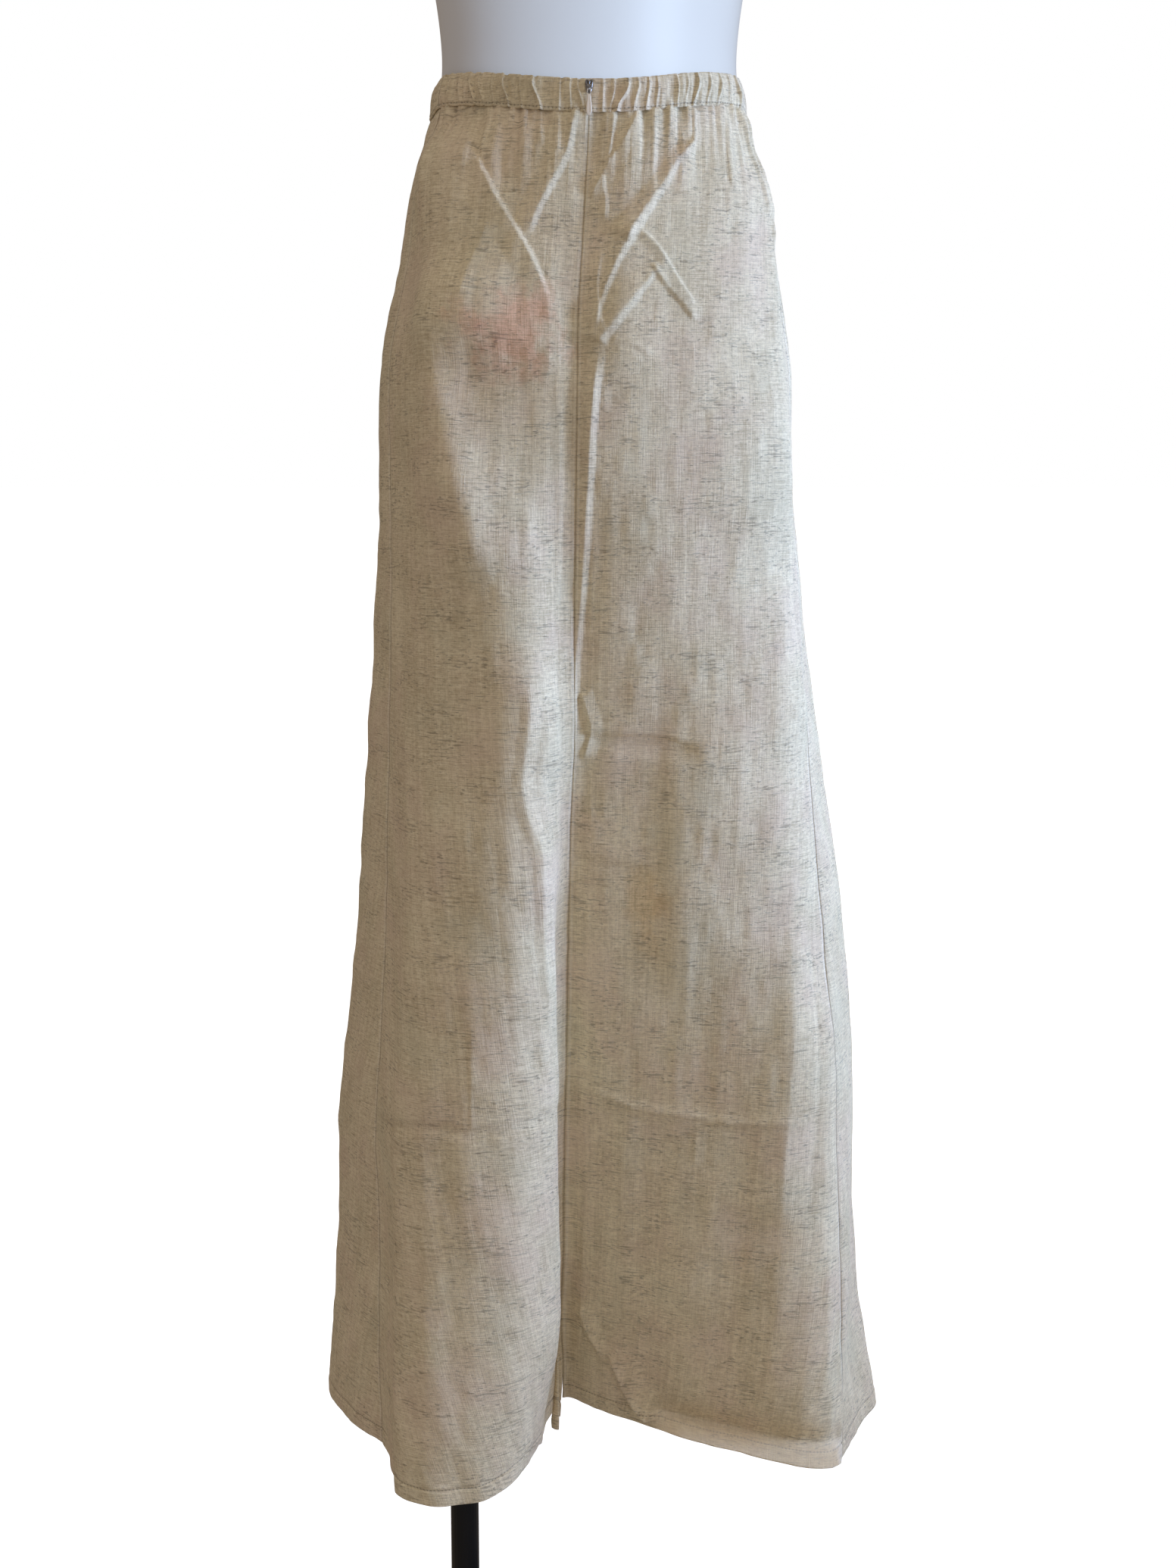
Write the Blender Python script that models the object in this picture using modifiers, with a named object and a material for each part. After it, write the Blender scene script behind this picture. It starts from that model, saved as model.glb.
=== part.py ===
"""Maxi skirt on a limbless dress form, modelled at its real size.

The skirt has two back panels joined by a centre seam with a concealed zip, one front panel, and a
waistband whose back halves are gathered on elastic. It hangs open below the hips: a deep lobe stands
out on the left of the back, the centre seam falls into a valley, and the right panel runs flat out to
a pressed corner. The form is a smooth torso on an off-centre pole and a round base.

Metres, +Z up. The origin is on the floor under the form's axis. The skirt's back faces -Y, and -X is on
the left when it is seen from behind. A turn is an angle round the body in degrees: 0 at the left side,
90 at the centre back, 180 at the right side and 270 at the centre front. A drop is a distance down from
the waist level.
"""

import math
from collections import namedtuple

import bmesh
import bpy
from mathutils import Matrix, Vector

# Driving dimensions
WAIST_LEVEL = 1.400  # floor to the waistband's top edge at the sides
SKIRT_DROP = 1.107  # waist level to the hem at the sides
BAND_DEPTH = 0.0245  # the casing, top edge to stitched edge
BAND_WALL = 0.0020  # two layers of linen over elastic
CLOTH_WALL = 0.0012
SEAM_GAP = 0.0003
CENTRE_BACK_DIP = 0.010  # the drop of the band's top edge at the centre back
SIDE_RISE = 0.002  # the elastic rides up beside the side seams
FRONT_DIP = 0.0035
FRONT_DIP_REACH = 12.0  # degrees from a side seam to where the front band has settled
VENT_HEIGHT = 0.046
VENT_GAP = 0.0030

ZIP_END_DROP = 0.2075
ZIP_TAPE_WIDTH = 0.022
ZIP_TAPE_WALL = 0.0007
ZIP_TOP_GAP = 0.001
ZIP_TAPE_INSET = 0.0033  # the cloth's outer face to the tape's outer face
SLIDER_WIDTH = 0.0066
SLIDER_HEIGHT = 0.0095
SLIDER_THICK = 0.0022
SLIDER_TOP_DROP = 0.0112
SLIDER_EDGE = 0.0007
BAIL_WIRE_RADIUS = 0.0004
BAIL_RADIUS = 0.0015
PULL_AXIS_DROP = 0.0180
PULL_AXIS_STANDOFF = 0.0009  # slider's face to the hinge axis
PULL_LENGTH = 0.0190  # hinge axis to the tab's round end
PULL_THICK = 0.0010
PULL_TOP_WIDTH = 0.0042
PULL_END_WIDTH = 0.0052
PULL_BAR = 0.0005  # half the height of the bar that the bail holds
PULL_WINDOW_WIDTH = 0.0022
PULL_WINDOW_END = 0.0027
PULL_CHAMFER = 0.0003

POLE_RADIUS = 0.0125
POLE_X = -0.111
BASE_RADIUS = 0.160
BASE_HEIGHT = 0.008
BASE_EDGE = 0.003
COLLAR_RADIUS = 0.0175
COLLAR_HEIGHT = 0.030
COLLAR_EDGE = 0.0015
TORSO_SIDES = 40

# Turns of the three seams, and of the centre seam where it leaves the waistband
LEFT_SEAM = 21.5
CENTRE_SEAM = 87.0
RIGHT_SEAM = 166.0
CENTRE_SEAM_AT_WAIST = 90.0
CENTRE_DRIFT_REACH = 45.0
CENTRE_DRIFT_DROP = 0.20

# The cloth's outline at each level, before its folds, and how far it has gone over to the hem's folds
Section = namedtuple("Section", "drop left right back front fall")
SECTIONS = [
    Section(-0.004, 0.1193, 0.1188, 0.0876, 0.0888, 0.00),
    Section(0.012, 0.1238, 0.1226, 0.0892, 0.0902, 0.00),
    Section(0.026, 0.1262, 0.1246, 0.0908, 0.0918, 0.00),
    Section(0.050, 0.1337, 0.1307, 0.0950, 0.0955, 0.00),
    Section(0.085, 0.1432, 0.1403, 0.1025, 0.1010, 0.00),
    Section(0.120, 0.1492, 0.1480, 0.1098, 0.1060, 0.00),
    Section(0.155, 0.1562, 0.1548, 0.1162, 0.1095, 0.00),
    Section(0.191, 0.1640, 0.1595, 0.1215, 0.1120, 0.00),
    Section(0.227, 0.1675, 0.1622, 0.1252, 0.1135, 0.01),
    Section(0.299, 0.1668, 0.1590, 0.1275, 0.1150, 0.07),
    Section(0.373, 0.1655, 0.1613, 0.1275, 0.1160, 0.14),
    Section(0.448, 0.1660, 0.1623, 0.1270, 0.1170, 0.22),
    Section(0.524, 0.1673, 0.1685, 0.1262, 0.1180, 0.29),
    Section(0.601, 0.1690, 0.1763, 0.1250, 0.1190, 0.37),
    Section(0.679, 0.1710, 0.1847, 0.1238, 0.1200, 0.45),
    Section(0.759, 0.1785, 0.1896, 0.1225, 0.1210, 0.53),
    Section(0.840, 0.1938, 0.1867, 0.1215, 0.1220, 0.61),
    Section(0.923, 0.1890, 0.1713, 0.1205, 0.1230, 0.70),
    Section(1.000, 0.1930, 0.1640, 0.1200, 0.1240, 0.80),
    Section(1.049, 0.1990, 0.1690, 0.1200, 0.1240, 0.89),
    Section(1.107, 0.2000, 0.1900, 0.1200, 0.1240, 1.00),
    Section(1.125, 0.2000, 0.1900, 0.1200, 0.1240, 1.00),
]

# The hem's folds: where each starts round the body, and where its foot stands
Fold = namedtuple("Fold", "name turn x y drop")
FOLDS = [
    Fold("left side seam", 21.5, -0.1740, -0.0844, 1.107),
    Fold("side wall", 31.5, -0.1611, -0.1268, 1.111),
    Fold("lobe corner", 38.5, -0.1555, -0.1525, 1.115),
    Fold("lobe front", 45.0, -0.1324, -0.1668, 1.117),
    Fold("lobe crown", 50.5, -0.1083, -0.1650, 1.117),
    Fold("lobe shoulder", 56.0, -0.0868, -0.1571, 1.116),
    Fold("lobe turn", 65.0, -0.0620, -0.1270, 1.113),
    Fold("flank", 77.0, -0.0405, -0.0770, 1.107),
    Fold("centre seam", 87.0, -0.0225, -0.0215, 1.099),
    Fold("valley side", 97.0, 0.0060, -0.0365, 1.101),
    Fold("right panel, inner", 110.0, 0.0454, -0.0576, 1.104),
    Fold("right panel, middle", 121.0, 0.0756, -0.0780, 1.107),
    Fold("right panel, outer", 137.0, 0.1227, -0.0997, 1.109),
    Fold("corner's near side", 153.0, 0.1730, -0.1208, 1.111),
    Fold("corner", 161.0, 0.2010, -0.1172, 1.113),
    Fold("right side seam", 166.0, 0.2127, -0.0986, 1.113),
    Fold("facet", 174.0, 0.2333, -0.0481, 1.109),
    Fold("right side", 184.0, 0.2515, -0.0112, 1.107),
    Fold("right side, front", 198.0, 0.2420, 0.0450, 1.106),
    Fold("front right crest", 216.0, 0.2020, 0.1080, 1.107),
    Fold("front right hollow", 232.0, 0.1480, 0.1230, 1.105),
    Fold("front inner crest", 251.0, 0.0840, 0.1620, 1.108),
    Fold("front middle hollow", 270.0, 0.0100, 0.1480, 1.106),
    Fold("front left crest", 289.0, -0.0660, 0.1650, 1.108),
    Fold("front left hollow", 306.0, -0.1260, 0.1270, 1.105),
    Fold("front side crest", 324.0, -0.1850, 0.1040, 1.107),
    Fold("left side, front", 342.0, -0.2220, 0.0540, 1.106),
    Fold("left side", 358.0, -0.2295, 0.0056, 1.107),
    Fold("left side, back", 371.0, -0.2008, -0.0519, 1.107),
]

# The elastic's gathers across the back: how deep each crease is, and how far it runs below the band
Gather = namedtuple("Gather", "turn depth run")
GATHERS = [
    Gather(28.5, 0.0006, 0.030),
    Gather(41.9, 0.0008, 0.035),
    Gather(47.0, 0.0010, 0.050),
    Gather(57.5, 0.0012, 0.050),
    Gather(68.9, 0.0012, 0.055),
    Gather(77.5, 0.0009, 0.040),
    Gather(82.6, 0.0009, 0.045),
    Gather(97.4, 0.0009, 0.045),
    Gather(104.5, 0.0012, 0.070),
    Gather(112.3, 0.0012, 0.055),
    Gather(117.5, 0.0009, 0.040),
    Gather(124.5, 0.0010, 0.035),
    Gather(133.6, 0.0012, 0.070),
    Gather(140.6, 0.0011, 0.100),
    Gather(148.4, 0.0009, 0.040),
    Gather(158.0, 0.0009, 0.050),
]
GATHER_HALF_WIDTH = 0.0024
GATHER_SHOULDER = 2.0  # degrees from a crease to the smooth cloth beside it
COLUMN_STEP = 3.8  # the widest step between a panel's columns, in degrees
FRONT_COLUMN_STEP = 6.0
TURN_STEP = 0.5  # the steps that a panel's directions are measured over
SHARE_STEP = 0.004

# Rows of the panels, as shares of the way from the waistband to the hem
PANEL_ROWS = [
    0.000, 0.011, 0.026, 0.045, 0.070, 0.102, 0.142, 0.185, 0.235, 0.300,
    0.385, 0.490, 0.610, 0.740, 0.860, 0.950, 1.000,
]  # fmt: skip
BAND_ROWS = [0.0, 0.5, 1.0]

# The form's sections, from its neck down to its flat underside: heights from the waist level
Body = namedtuple("Body", "height half_width back front")
TORSO = [
    Body(0.430, 0.0520, 0.0540, 0.0540),
    Body(0.398, 0.0535, 0.0555, 0.0555),
    Body(0.384, 0.0640, 0.0610, 0.0600),
    Body(0.368, 0.1020, 0.0710, 0.0690),
    Body(0.350, 0.1460, 0.0800, 0.0770),
    Body(0.325, 0.1690, 0.0865, 0.0840),
    Body(0.292, 0.1710, 0.0925, 0.0910),
    Body(0.250, 0.1600, 0.0965, 0.0990),
    Body(0.200, 0.1465, 0.0975, 0.1070),
    Body(0.150, 0.1375, 0.0945, 0.1090),
    Body(0.105, 0.1285, 0.0895, 0.1010),
    Body(0.063, 0.1200, 0.0850, 0.0920),
    Body(0.026, 0.1158, 0.0828, 0.0858),
    Body(0.000, 0.1163, 0.0830, 0.0850),
    Body(-0.026, 0.1208, 0.0846, 0.0868),
    Body(-0.055, 0.1275, 0.0885, 0.0908),
    Body(-0.090, 0.1355, 0.0950, 0.0960),
    Body(-0.130, 0.1425, 0.1020, 0.1000),
    Body(-0.170, 0.1480, 0.1075, 0.1030),
    Body(-0.215, 0.1515, 0.1105, 0.1045),
    Body(-0.260, 0.1525, 0.1095, 0.1035),
    Body(-0.300, 0.1500, 0.1030, 0.0990),
    Body(-0.325, 0.1440, 0.0950, 0.0920),
    Body(-0.335, 0.1350, 0.0850, 0.0830),
]


def smooth_at(places, values, at):
    """A smooth curve through the values, read at one place (Catmull-Rom over uneven steps)."""
    last = len(places) - 1
    i = max(0, min(last - 1, sum(place <= at for place in places) - 1))
    span = places[i + 1] - places[i]
    share = (at - places[i]) / span

    def slope(j):
        before, after = max(j - 1, 0), min(j + 1, last)
        return (values[after] - values[before]) / (places[after] - places[before])

    a, b = share * share * (3 - 2 * share), share * (1 - share)
    bend = b * ((1 - share) * slope(i) - share * slope(i + 1)) * span
    return values[i] + a * (values[i + 1] - values[i]) + bend


def column(rows, name):
    return [getattr(row, name) for row in rows]


def ease(share):
    share = max(0.0, min(1.0, share))
    return share * share * (3 - 2 * share)


def on_body(turn, drop, inset=0.0):
    """A point of the cloth's outline round the body, at its own level."""
    left_over = 1 - ease(drop / CENTRE_DRIFT_DROP)
    near_centre = max(0.0, 1 - abs(turn - CENTRE_SEAM) / CENTRE_DRIFT_REACH)
    angle = math.radians(turn + (CENTRE_SEAM_AT_WAIST - CENTRE_SEAM) * left_over * near_centre)
    drops = column(SECTIONS, "drop")
    half_width = smooth_at(drops, column(SECTIONS, "left" if math.cos(angle) > 0 else "right"), drop)
    depth = smooth_at(drops, column(SECTIONS, "back" if math.sin(angle) > 0 else "front"), drop)
    return (
        -(half_width - inset) * math.cos(angle),
        -(depth - inset) * math.sin(angle),
    )


def hem_foot(turn):
    """Where the hem stands at this turn: x, y and the hem's drop. The folds run on round the body."""
    turn = FOLDS[0].turn + (turn - FOLDS[0].turn) % 360
    folds = [FOLDS[-1], *FOLDS, FOLDS[0]]
    turns = [FOLDS[-1].turn - 360, *column(FOLDS, "turn"), FOLDS[0].turn + 360]
    return [smooth_at(turns, column(folds, name), turn) for name in ("x", "y", "drop")]


def band_top(turn):
    """The drop of the waistband's top edge: lowest at the centre back, a little low in front."""
    turn = LEFT_SEAM + (turn - LEFT_SEAM) % 360
    if turn < RIGHT_SEAM:
        return (CENTRE_BACK_DIP + SIDE_RISE) * math.sin(math.radians(turn)) ** 4 - SIDE_RISE
    from_seam = min(turn - RIGHT_SEAM, LEFT_SEAM + 360 - turn)
    return (FRONT_DIP + SIDE_RISE) * ease(from_seam / FRONT_DIP_REACH) - SIDE_RISE


def gather_depth(turn, below_band):
    """How far the elastic's creases pull the cloth in at this turn."""
    total = 0.0
    for gather in GATHERS:
        across = math.radians(turn - gather.turn) * SECTIONS[1].left / GATHER_HALF_WIDTH
        fade = 1 - ease(below_band / gather.run)
        total += gather.depth * math.exp(-across * across) * fade
    return total


def cloth_point(turn, share):
    """A point of a panel's outer face: share 0 under the waistband, 1 at the hem."""
    foot_x, foot_y, foot_drop = hem_foot(turn)
    top = band_top(turn) + BAND_DEPTH + SEAM_GAP
    drop = top + share * (foot_drop - top)
    body_x, body_y = on_body(turn, drop, gather_depth(turn, drop - top))
    level = min(drop * SKIRT_DROP / foot_drop, SKIRT_DROP)
    fall = max(0.0, smooth_at(column(SECTIONS, "drop"), column(SECTIONS, "fall"), level))
    return Vector((
        body_x + fall * (foot_x - body_x),
        body_y + fall * (foot_y - body_y),
        WAIST_LEVEL - drop,
    ))


def band_point(turn, share):
    drop = band_top(turn) + share * BAND_DEPTH
    x, y = on_body(turn, drop, gather_depth(turn, 0.0))
    return Vector((x, y, WAIST_LEVEL - drop))


def collection_named(name):
    made = bpy.data.collections.new(name)
    bpy.context.scene.collection.children.link(made)
    return made


def finish_named(name, color, roughness, metallic=0.0):
    material = bpy.data.materials.new(name)
    material.use_nodes = True
    shader = material.node_tree.nodes["Principled BSDF"]
    shader.inputs["Base Color"].default_value = (*color, 1.0)
    shader.inputs["Roughness"].default_value = roughness
    shader.inputs["Metallic"].default_value = metallic
    return material


def add_object(name, mesh, material, smooth=True):
    obj = bpy.data.objects.new(name, mesh)
    mesh.materials.append(material)
    if smooth:
        mesh.shade_smooth()
    skirt.objects.link(obj)
    return obj


def shell_mesh(name, outer, inner):
    """A closed wall between two grids of points, whose rows run with the turns from the top down."""
    bm = bmesh.new()
    skins = [[[bm.verts.new(point) for point in row] for row in rows] for rows in (outer, inner)]
    rows, columns = len(outer), len(outer[0])

    def face(*corners):
        bm.faces.new([skins[skin][row][i] for skin, row, i in corners])

    for row in range(rows - 1):
        for i in range(columns - 1):
            face((0, row, i), (0, row + 1, i), (0, row + 1, i + 1), (0, row, i + 1))
            face((1, row, i), (1, row, i + 1), (1, row + 1, i + 1), (1, row + 1, i))
        face((0, row, 0), (1, row, 0), (1, row + 1, 0), (0, row + 1, 0))
        end = columns - 1
        face((0, row, end), (0, row + 1, end), (1, row + 1, end), (1, row, end))
    for i in range(columns - 1):
        face((0, 0, i), (0, 0, i + 1), (1, 0, i + 1), (1, 0, i))
        foot = rows - 1
        face((0, foot, i), (1, foot, i), (1, foot, i + 1), (0, foot, i + 1))
    mesh = bpy.data.meshes.new(name)
    bm.to_mesh(mesh)
    bm.free()
    return mesh


def frame_at(point_at, turn, share):
    """The directions along a panel's row and straight out of it, the same from either side of a seam."""
    along = point_at(turn + TURN_STEP, share) - point_at(turn - TURN_STEP, share)
    down = point_at(turn, share + SHARE_STEP) - point_at(turn, share - SHARE_STEP)
    return along.normalized(), down.cross(along).normalized()


def cloth_object(name, point_at, turns, shares, wall, material, end_shift=None):
    """A panel: its outer points over turns and shares, with a wall of even thickness inside them."""
    outer, inner = [], []
    for share in shares:
        outer_row, inner_row = [], []
        for turn in turns:
            along, out = frame_at(point_at, turn, share)
            point = point_at(turn, share)
            if turn == turns[0]:
                point += along * SEAM_GAP / 2
            if turn == turns[-1]:
                point -= along * (SEAM_GAP / 2 + (end_shift(share) if end_shift else 0.0))
            outer_row.append(point)
            inner_row.append(point - out * wall)
        outer.append(outer_row)
        inner.append(inner_row)
    return add_object(name, shell_mesh(name, outer, inner), material)


def turns_between(first, last, step, creases=()):
    """A panel's columns: its ends, each crease with its shoulders, and even steps between them."""
    marks = {first, last}
    for crease in creases:
        if first < crease < last:
            around = (crease - GATHER_SHOULDER, crease, crease + GATHER_SHOULDER)
            marks |= {turn for turn in around if first + 1 < turn < last - 1}
    marks = sorted(marks)
    turns = []
    for here, there in zip(marks, marks[1:]):
        count = math.ceil((there - here) / step)
        turns += [here + (there - here) * i / count for i in range(count)]
    return turns + [last]


def vent_shift(share):
    """How far the left edge is drawn back from the centre seam in the vent above the hem."""
    up_from_hem = (1 - share) * (SKIRT_DROP - BAND_DEPTH)
    return VENT_GAP * (1 - ease(up_from_hem / VENT_HEIGHT))


def loft_mesh(name, rings):
    """A closed body through rings of equal counts, listed from the top down."""
    bm = bmesh.new()
    loops = [[bm.verts.new(point) for point in ring] for ring in rings]
    for upper, lower in zip(loops, loops[1:]):
        for i in range(len(upper)):
            j = (i + 1) % len(upper)
            bm.faces.new((upper[i], lower[i], lower[j], upper[j]))
    bm.faces.new(loops[0])
    bm.faces.new(reversed(loops[-1]))
    bmesh.ops.recalc_face_normals(bm, faces=bm.faces)
    mesh = bpy.data.meshes.new(name)
    bm.to_mesh(mesh)
    bm.free()
    return mesh


def make_panels(linen):
    creases = column(GATHERS, "turn")
    left_turns = turns_between(LEFT_SEAM, CENTRE_SEAM, COLUMN_STEP, creases)
    right_turns = turns_between(CENTRE_SEAM, RIGHT_SEAM, COLUMN_STEP, creases)
    front_turns = turns_between(RIGHT_SEAM, LEFT_SEAM + 360, FRONT_COLUMN_STEP)
    cloth_object("back_panel_left", cloth_point, left_turns, PANEL_ROWS, CLOTH_WALL, linen, vent_shift)
    cloth_object("back_panel_right", cloth_point, right_turns, PANEL_ROWS, CLOTH_WALL, linen)
    cloth_object("front_panel", cloth_point, front_turns, PANEL_ROWS, CLOTH_WALL, linen)
    cloth_object("waistband_back_left", band_point, left_turns, BAND_ROWS, BAND_WALL, linen)
    cloth_object("waistband_back_right", band_point, right_turns, BAND_ROWS, BAND_WALL, linen)
    cloth_object("waistband_front", band_point, front_turns, BAND_ROWS, BAND_WALL, linen)


def zip_line(drop):
    """A point of the centre seam, on the cloth's outer face before any gathers."""
    x, y = on_body(CENTRE_SEAM, drop)
    return Vector((x, y, WAIST_LEVEL - drop))


def tape_point(turn, share):
    """A point of the zip tape's outer face, just inside the centre seam."""
    drop = CENTRE_BACK_DIP + ZIP_TOP_GAP + share * (ZIP_END_DROP - CENTRE_BACK_DIP - ZIP_TOP_GAP)
    return Vector((*on_body(turn, drop, ZIP_TAPE_INSET), WAIST_LEVEL - drop))


def make_zip(tape_finish, metal):
    half_turn = math.degrees(ZIP_TAPE_WIDTH / 2 / SECTIONS[0].left)
    turns = [CENTRE_SEAM + half_turn * share for share in (-1, -0.5, 0, 0.5, 1)]
    shares = [i / 12 for i in range(13)]
    cloth_object("zip_tape", tape_point, turns, shares, ZIP_TAPE_WALL, tape_finish)
    make_slider(metal)
    make_pull(metal)


def slider_face():
    """The y of the slider's outer face: the block lies just off the band's most proud point."""
    drops = (SLIDER_TOP_DROP, SLIDER_TOP_DROP + SLIDER_HEIGHT)
    return min(zip_line(drop).y for drop in drops) - SEAM_GAP - SLIDER_THICK


def pull_axis():
    x = zip_line(PULL_AXIS_DROP).x
    return Vector((x, slider_face() - PULL_AXIS_STANDOFF, WAIST_LEVEL - PULL_AXIS_DROP))


def make_slider(metal):
    axis = pull_axis()
    middle = WAIST_LEVEL - SLIDER_TOP_DROP - SLIDER_HEIGHT / 2
    size = Vector((SLIDER_WIDTH, SLIDER_THICK, SLIDER_HEIGHT))
    bm = bmesh.new()
    place = Matrix.Translation((axis.x, slider_face() + SLIDER_THICK / 2, middle))
    bmesh.ops.create_cube(bm, size=1.0, matrix=place @ Matrix.Diagonal((*size, 1.0)))
    mesh = bpy.data.meshes.new("zip_slider")
    bm.to_mesh(mesh)
    bm.free()
    slider = add_object("zip_slider", mesh, metal, smooth=False)
    rounding = slider.modifiers.new("rounding", "BEVEL")
    rounding.width = SLIDER_EDGE
    rounding.segments = 2
    join = slider.modifiers.new("bail", "BOOLEAN")
    join.operation = "UNION"
    join.object = bail_cutter(axis)


def bail_cutter(axis):
    """The half ring of wire that holds the pull, concentric with the hinge axis, as a mesh."""
    curve = bpy.data.curves.new("bail_wire", "CURVE")
    curve.dimensions = "3D"
    curve.bevel_depth = BAIL_WIRE_RADIUS
    curve.bevel_resolution = 2
    curve.use_fill_caps = True
    foot = PULL_AXIS_STANDOFF + SLIDER_THICK / 2
    arc = [math.radians(90 - 180 * i / 10) for i in range(11)]
    path = [Vector((0, foot, BAIL_RADIUS))]
    path += [Vector((0, -BAIL_RADIUS * math.cos(a), BAIL_RADIUS * math.sin(a))) for a in arc]
    path += [Vector((0, foot, -BAIL_RADIUS))]
    spline = curve.splines.new("POLY")
    spline.points.add(len(path) - 1)
    for point, place in zip(spline.points, path):
        point.co = (*place, 1.0)
    wire = bpy.data.objects.new("bail_wire", curve)
    helpers.objects.link(wire)
    bpy.context.view_layer.update()
    mesh = bpy.data.meshes.new_from_object(wire.evaluated_get(bpy.context.evaluated_depsgraph_get()))
    bm = bmesh.new()
    bm.from_mesh(mesh)
    bmesh.ops.remove_doubles(bm, verts=bm.verts, dist=1e-6)
    bmesh.ops.recalc_face_normals(bm, faces=bm.faces)
    bm.to_mesh(mesh)
    bm.free()
    cutter = bpy.data.objects.new("bail", mesh)
    cutter.location = axis
    cutter.hide_render = True
    cutter.display_type = "WIRE"
    helpers.objects.link(cutter)
    bpy.data.objects.remove(wire)
    return cutter


def make_pull(metal):
    """The tab: a flat outline with a window for the bail, extruded to its thickness."""
    end = PULL_END_WIDTH / 2
    half_top = PULL_TOP_WIDTH / 2
    outline = [
        (-half_top, PULL_BAR - PULL_CHAMFER),
        (-half_top + PULL_CHAMFER, PULL_BAR),
        (half_top - PULL_CHAMFER, PULL_BAR),
        (half_top, PULL_BAR - PULL_CHAMFER),
    ]
    centre = -(PULL_LENGTH - end)
    for i in range(13):
        angle = math.radians(-180 * i / 12)
        outline.append((end * math.cos(angle), centre + end * math.sin(angle)))
    half_window = PULL_WINDOW_WIDTH / 2
    window = [
        (-half_window, -PULL_BAR),
        (-half_window, -PULL_WINDOW_END),
        (half_window, -PULL_WINDOW_END),
        (half_window, -PULL_BAR),
    ]
    curve = bpy.data.curves.new("zip_pull", "CURVE")
    curve.dimensions = "2D"
    curve.fill_mode = "BOTH"
    curve.extrude = PULL_THICK / 2
    for points in (outline, window):
        spline = curve.splines.new("POLY")
        spline.points.add(len(points) - 1)
        for point, (x, up) in zip(spline.points, points):
            point.co = (x, up, 0.0, 1.0)
        spline.use_cyclic_u = True
    curve.materials.append(metal)
    pull = bpy.data.objects.new("zip_pull", curve)
    pull.location = pull_axis()
    pull.rotation_euler = (math.radians(90), 0, 0)
    skirt.objects.link(pull)


def make_torso(gloss):
    rings = []
    for body in TORSO:
        ring = []
        for i in range(TORSO_SIDES):
            angle = math.tau * i / TORSO_SIDES
            depth = body.back if math.sin(angle) > 0 else body.front
            ring.append(Vector((
                -body.half_width * math.cos(angle),
                -depth * math.sin(angle),
                WAIST_LEVEL + body.height,
            )))
        rings.append(ring)
    add_object("form_torso", loft_mesh("form_torso", rings), gloss)


def turned(name, profile, place, finish, sides):
    """A turned piece: its half profile, from the top of its outer side down, swept round."""
    bm = bmesh.new()
    verts = [bm.verts.new((radius, 0, height)) for radius, height in profile]
    for first, second in zip(verts, verts[1:]):
        bm.edges.new((first, second))
    mesh = bpy.data.meshes.new(name)
    bm.to_mesh(mesh)
    bm.free()
    obj = add_object(name, mesh, finish)
    obj.location = place
    sweep = obj.modifiers.new("sweep", "SCREW")
    sweep.axis = "Z"
    sweep.steps = sweep.render_steps = sides
    sweep.use_merge_vertices = True
    sweep.merge_threshold = 1e-5


def make_stand(steel):
    underside = WAIST_LEVEL + TORSO[-1].height
    base = [
        (0, BASE_HEIGHT),
        (BASE_RADIUS - BASE_EDGE, BASE_HEIGHT),
        (BASE_RADIUS, BASE_HEIGHT - BASE_EDGE),
        (BASE_RADIUS, 0),
        (0, 0),
    ]
    turned("form_base", base, (0, 0, 0), steel, sides=64)
    pole_foot, pole_head = BASE_HEIGHT + SEAM_GAP, underside - SEAM_GAP
    pole = [(0, pole_head), (POLE_RADIUS, pole_head), (POLE_RADIUS, pole_foot), (0, pole_foot)]
    turned("form_pole", pole, (POLE_X, 0, 0), steel, sides=24)
    bore = POLE_RADIUS + SEAM_GAP
    collar = [
        (bore, COLLAR_HEIGHT),
        (COLLAR_RADIUS - COLLAR_EDGE, COLLAR_HEIGHT),
        (COLLAR_RADIUS, COLLAR_HEIGHT - COLLAR_EDGE),
        (COLLAR_RADIUS, 0),
        (bore, 0),
        (bore, COLLAR_HEIGHT),
    ]
    turned("form_foot", collar, (POLE_X, 0, pole_foot), steel, sides=32)
    upside_down = [(radius, -height) for radius, height in reversed(collar)]
    turned("form_socket", upside_down, (POLE_X, 0, pole_head), steel, sides=32)


for old in list(bpy.data.objects):
    bpy.data.objects.remove(old)
skirt = collection_named("maxi_skirt_on_dress_form")
helpers = collection_named("cutters")

linen_finish = finish_named("oatmeal_linen", (0.56, 0.50, 0.41), 0.9)
tape_finish = finish_named("zip_tape", (0.50, 0.45, 0.37), 0.8)
metal_finish = finish_named("painted_zip_metal", (0.75, 0.68, 0.56), 0.35, 0.2)
gloss_finish = finish_named("white_gloss", (0.80, 0.82, 0.85), 0.25)
steel_finish = finish_named("black_steel", (0.02, 0.02, 0.02), 0.4, 0.5)

make_panels(linen_finish)
make_zip(tape_finish, metal_finish)
make_torso(gloss_finish)
make_stand(steel_finish)
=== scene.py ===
import math
from collections import namedtuple

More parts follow.
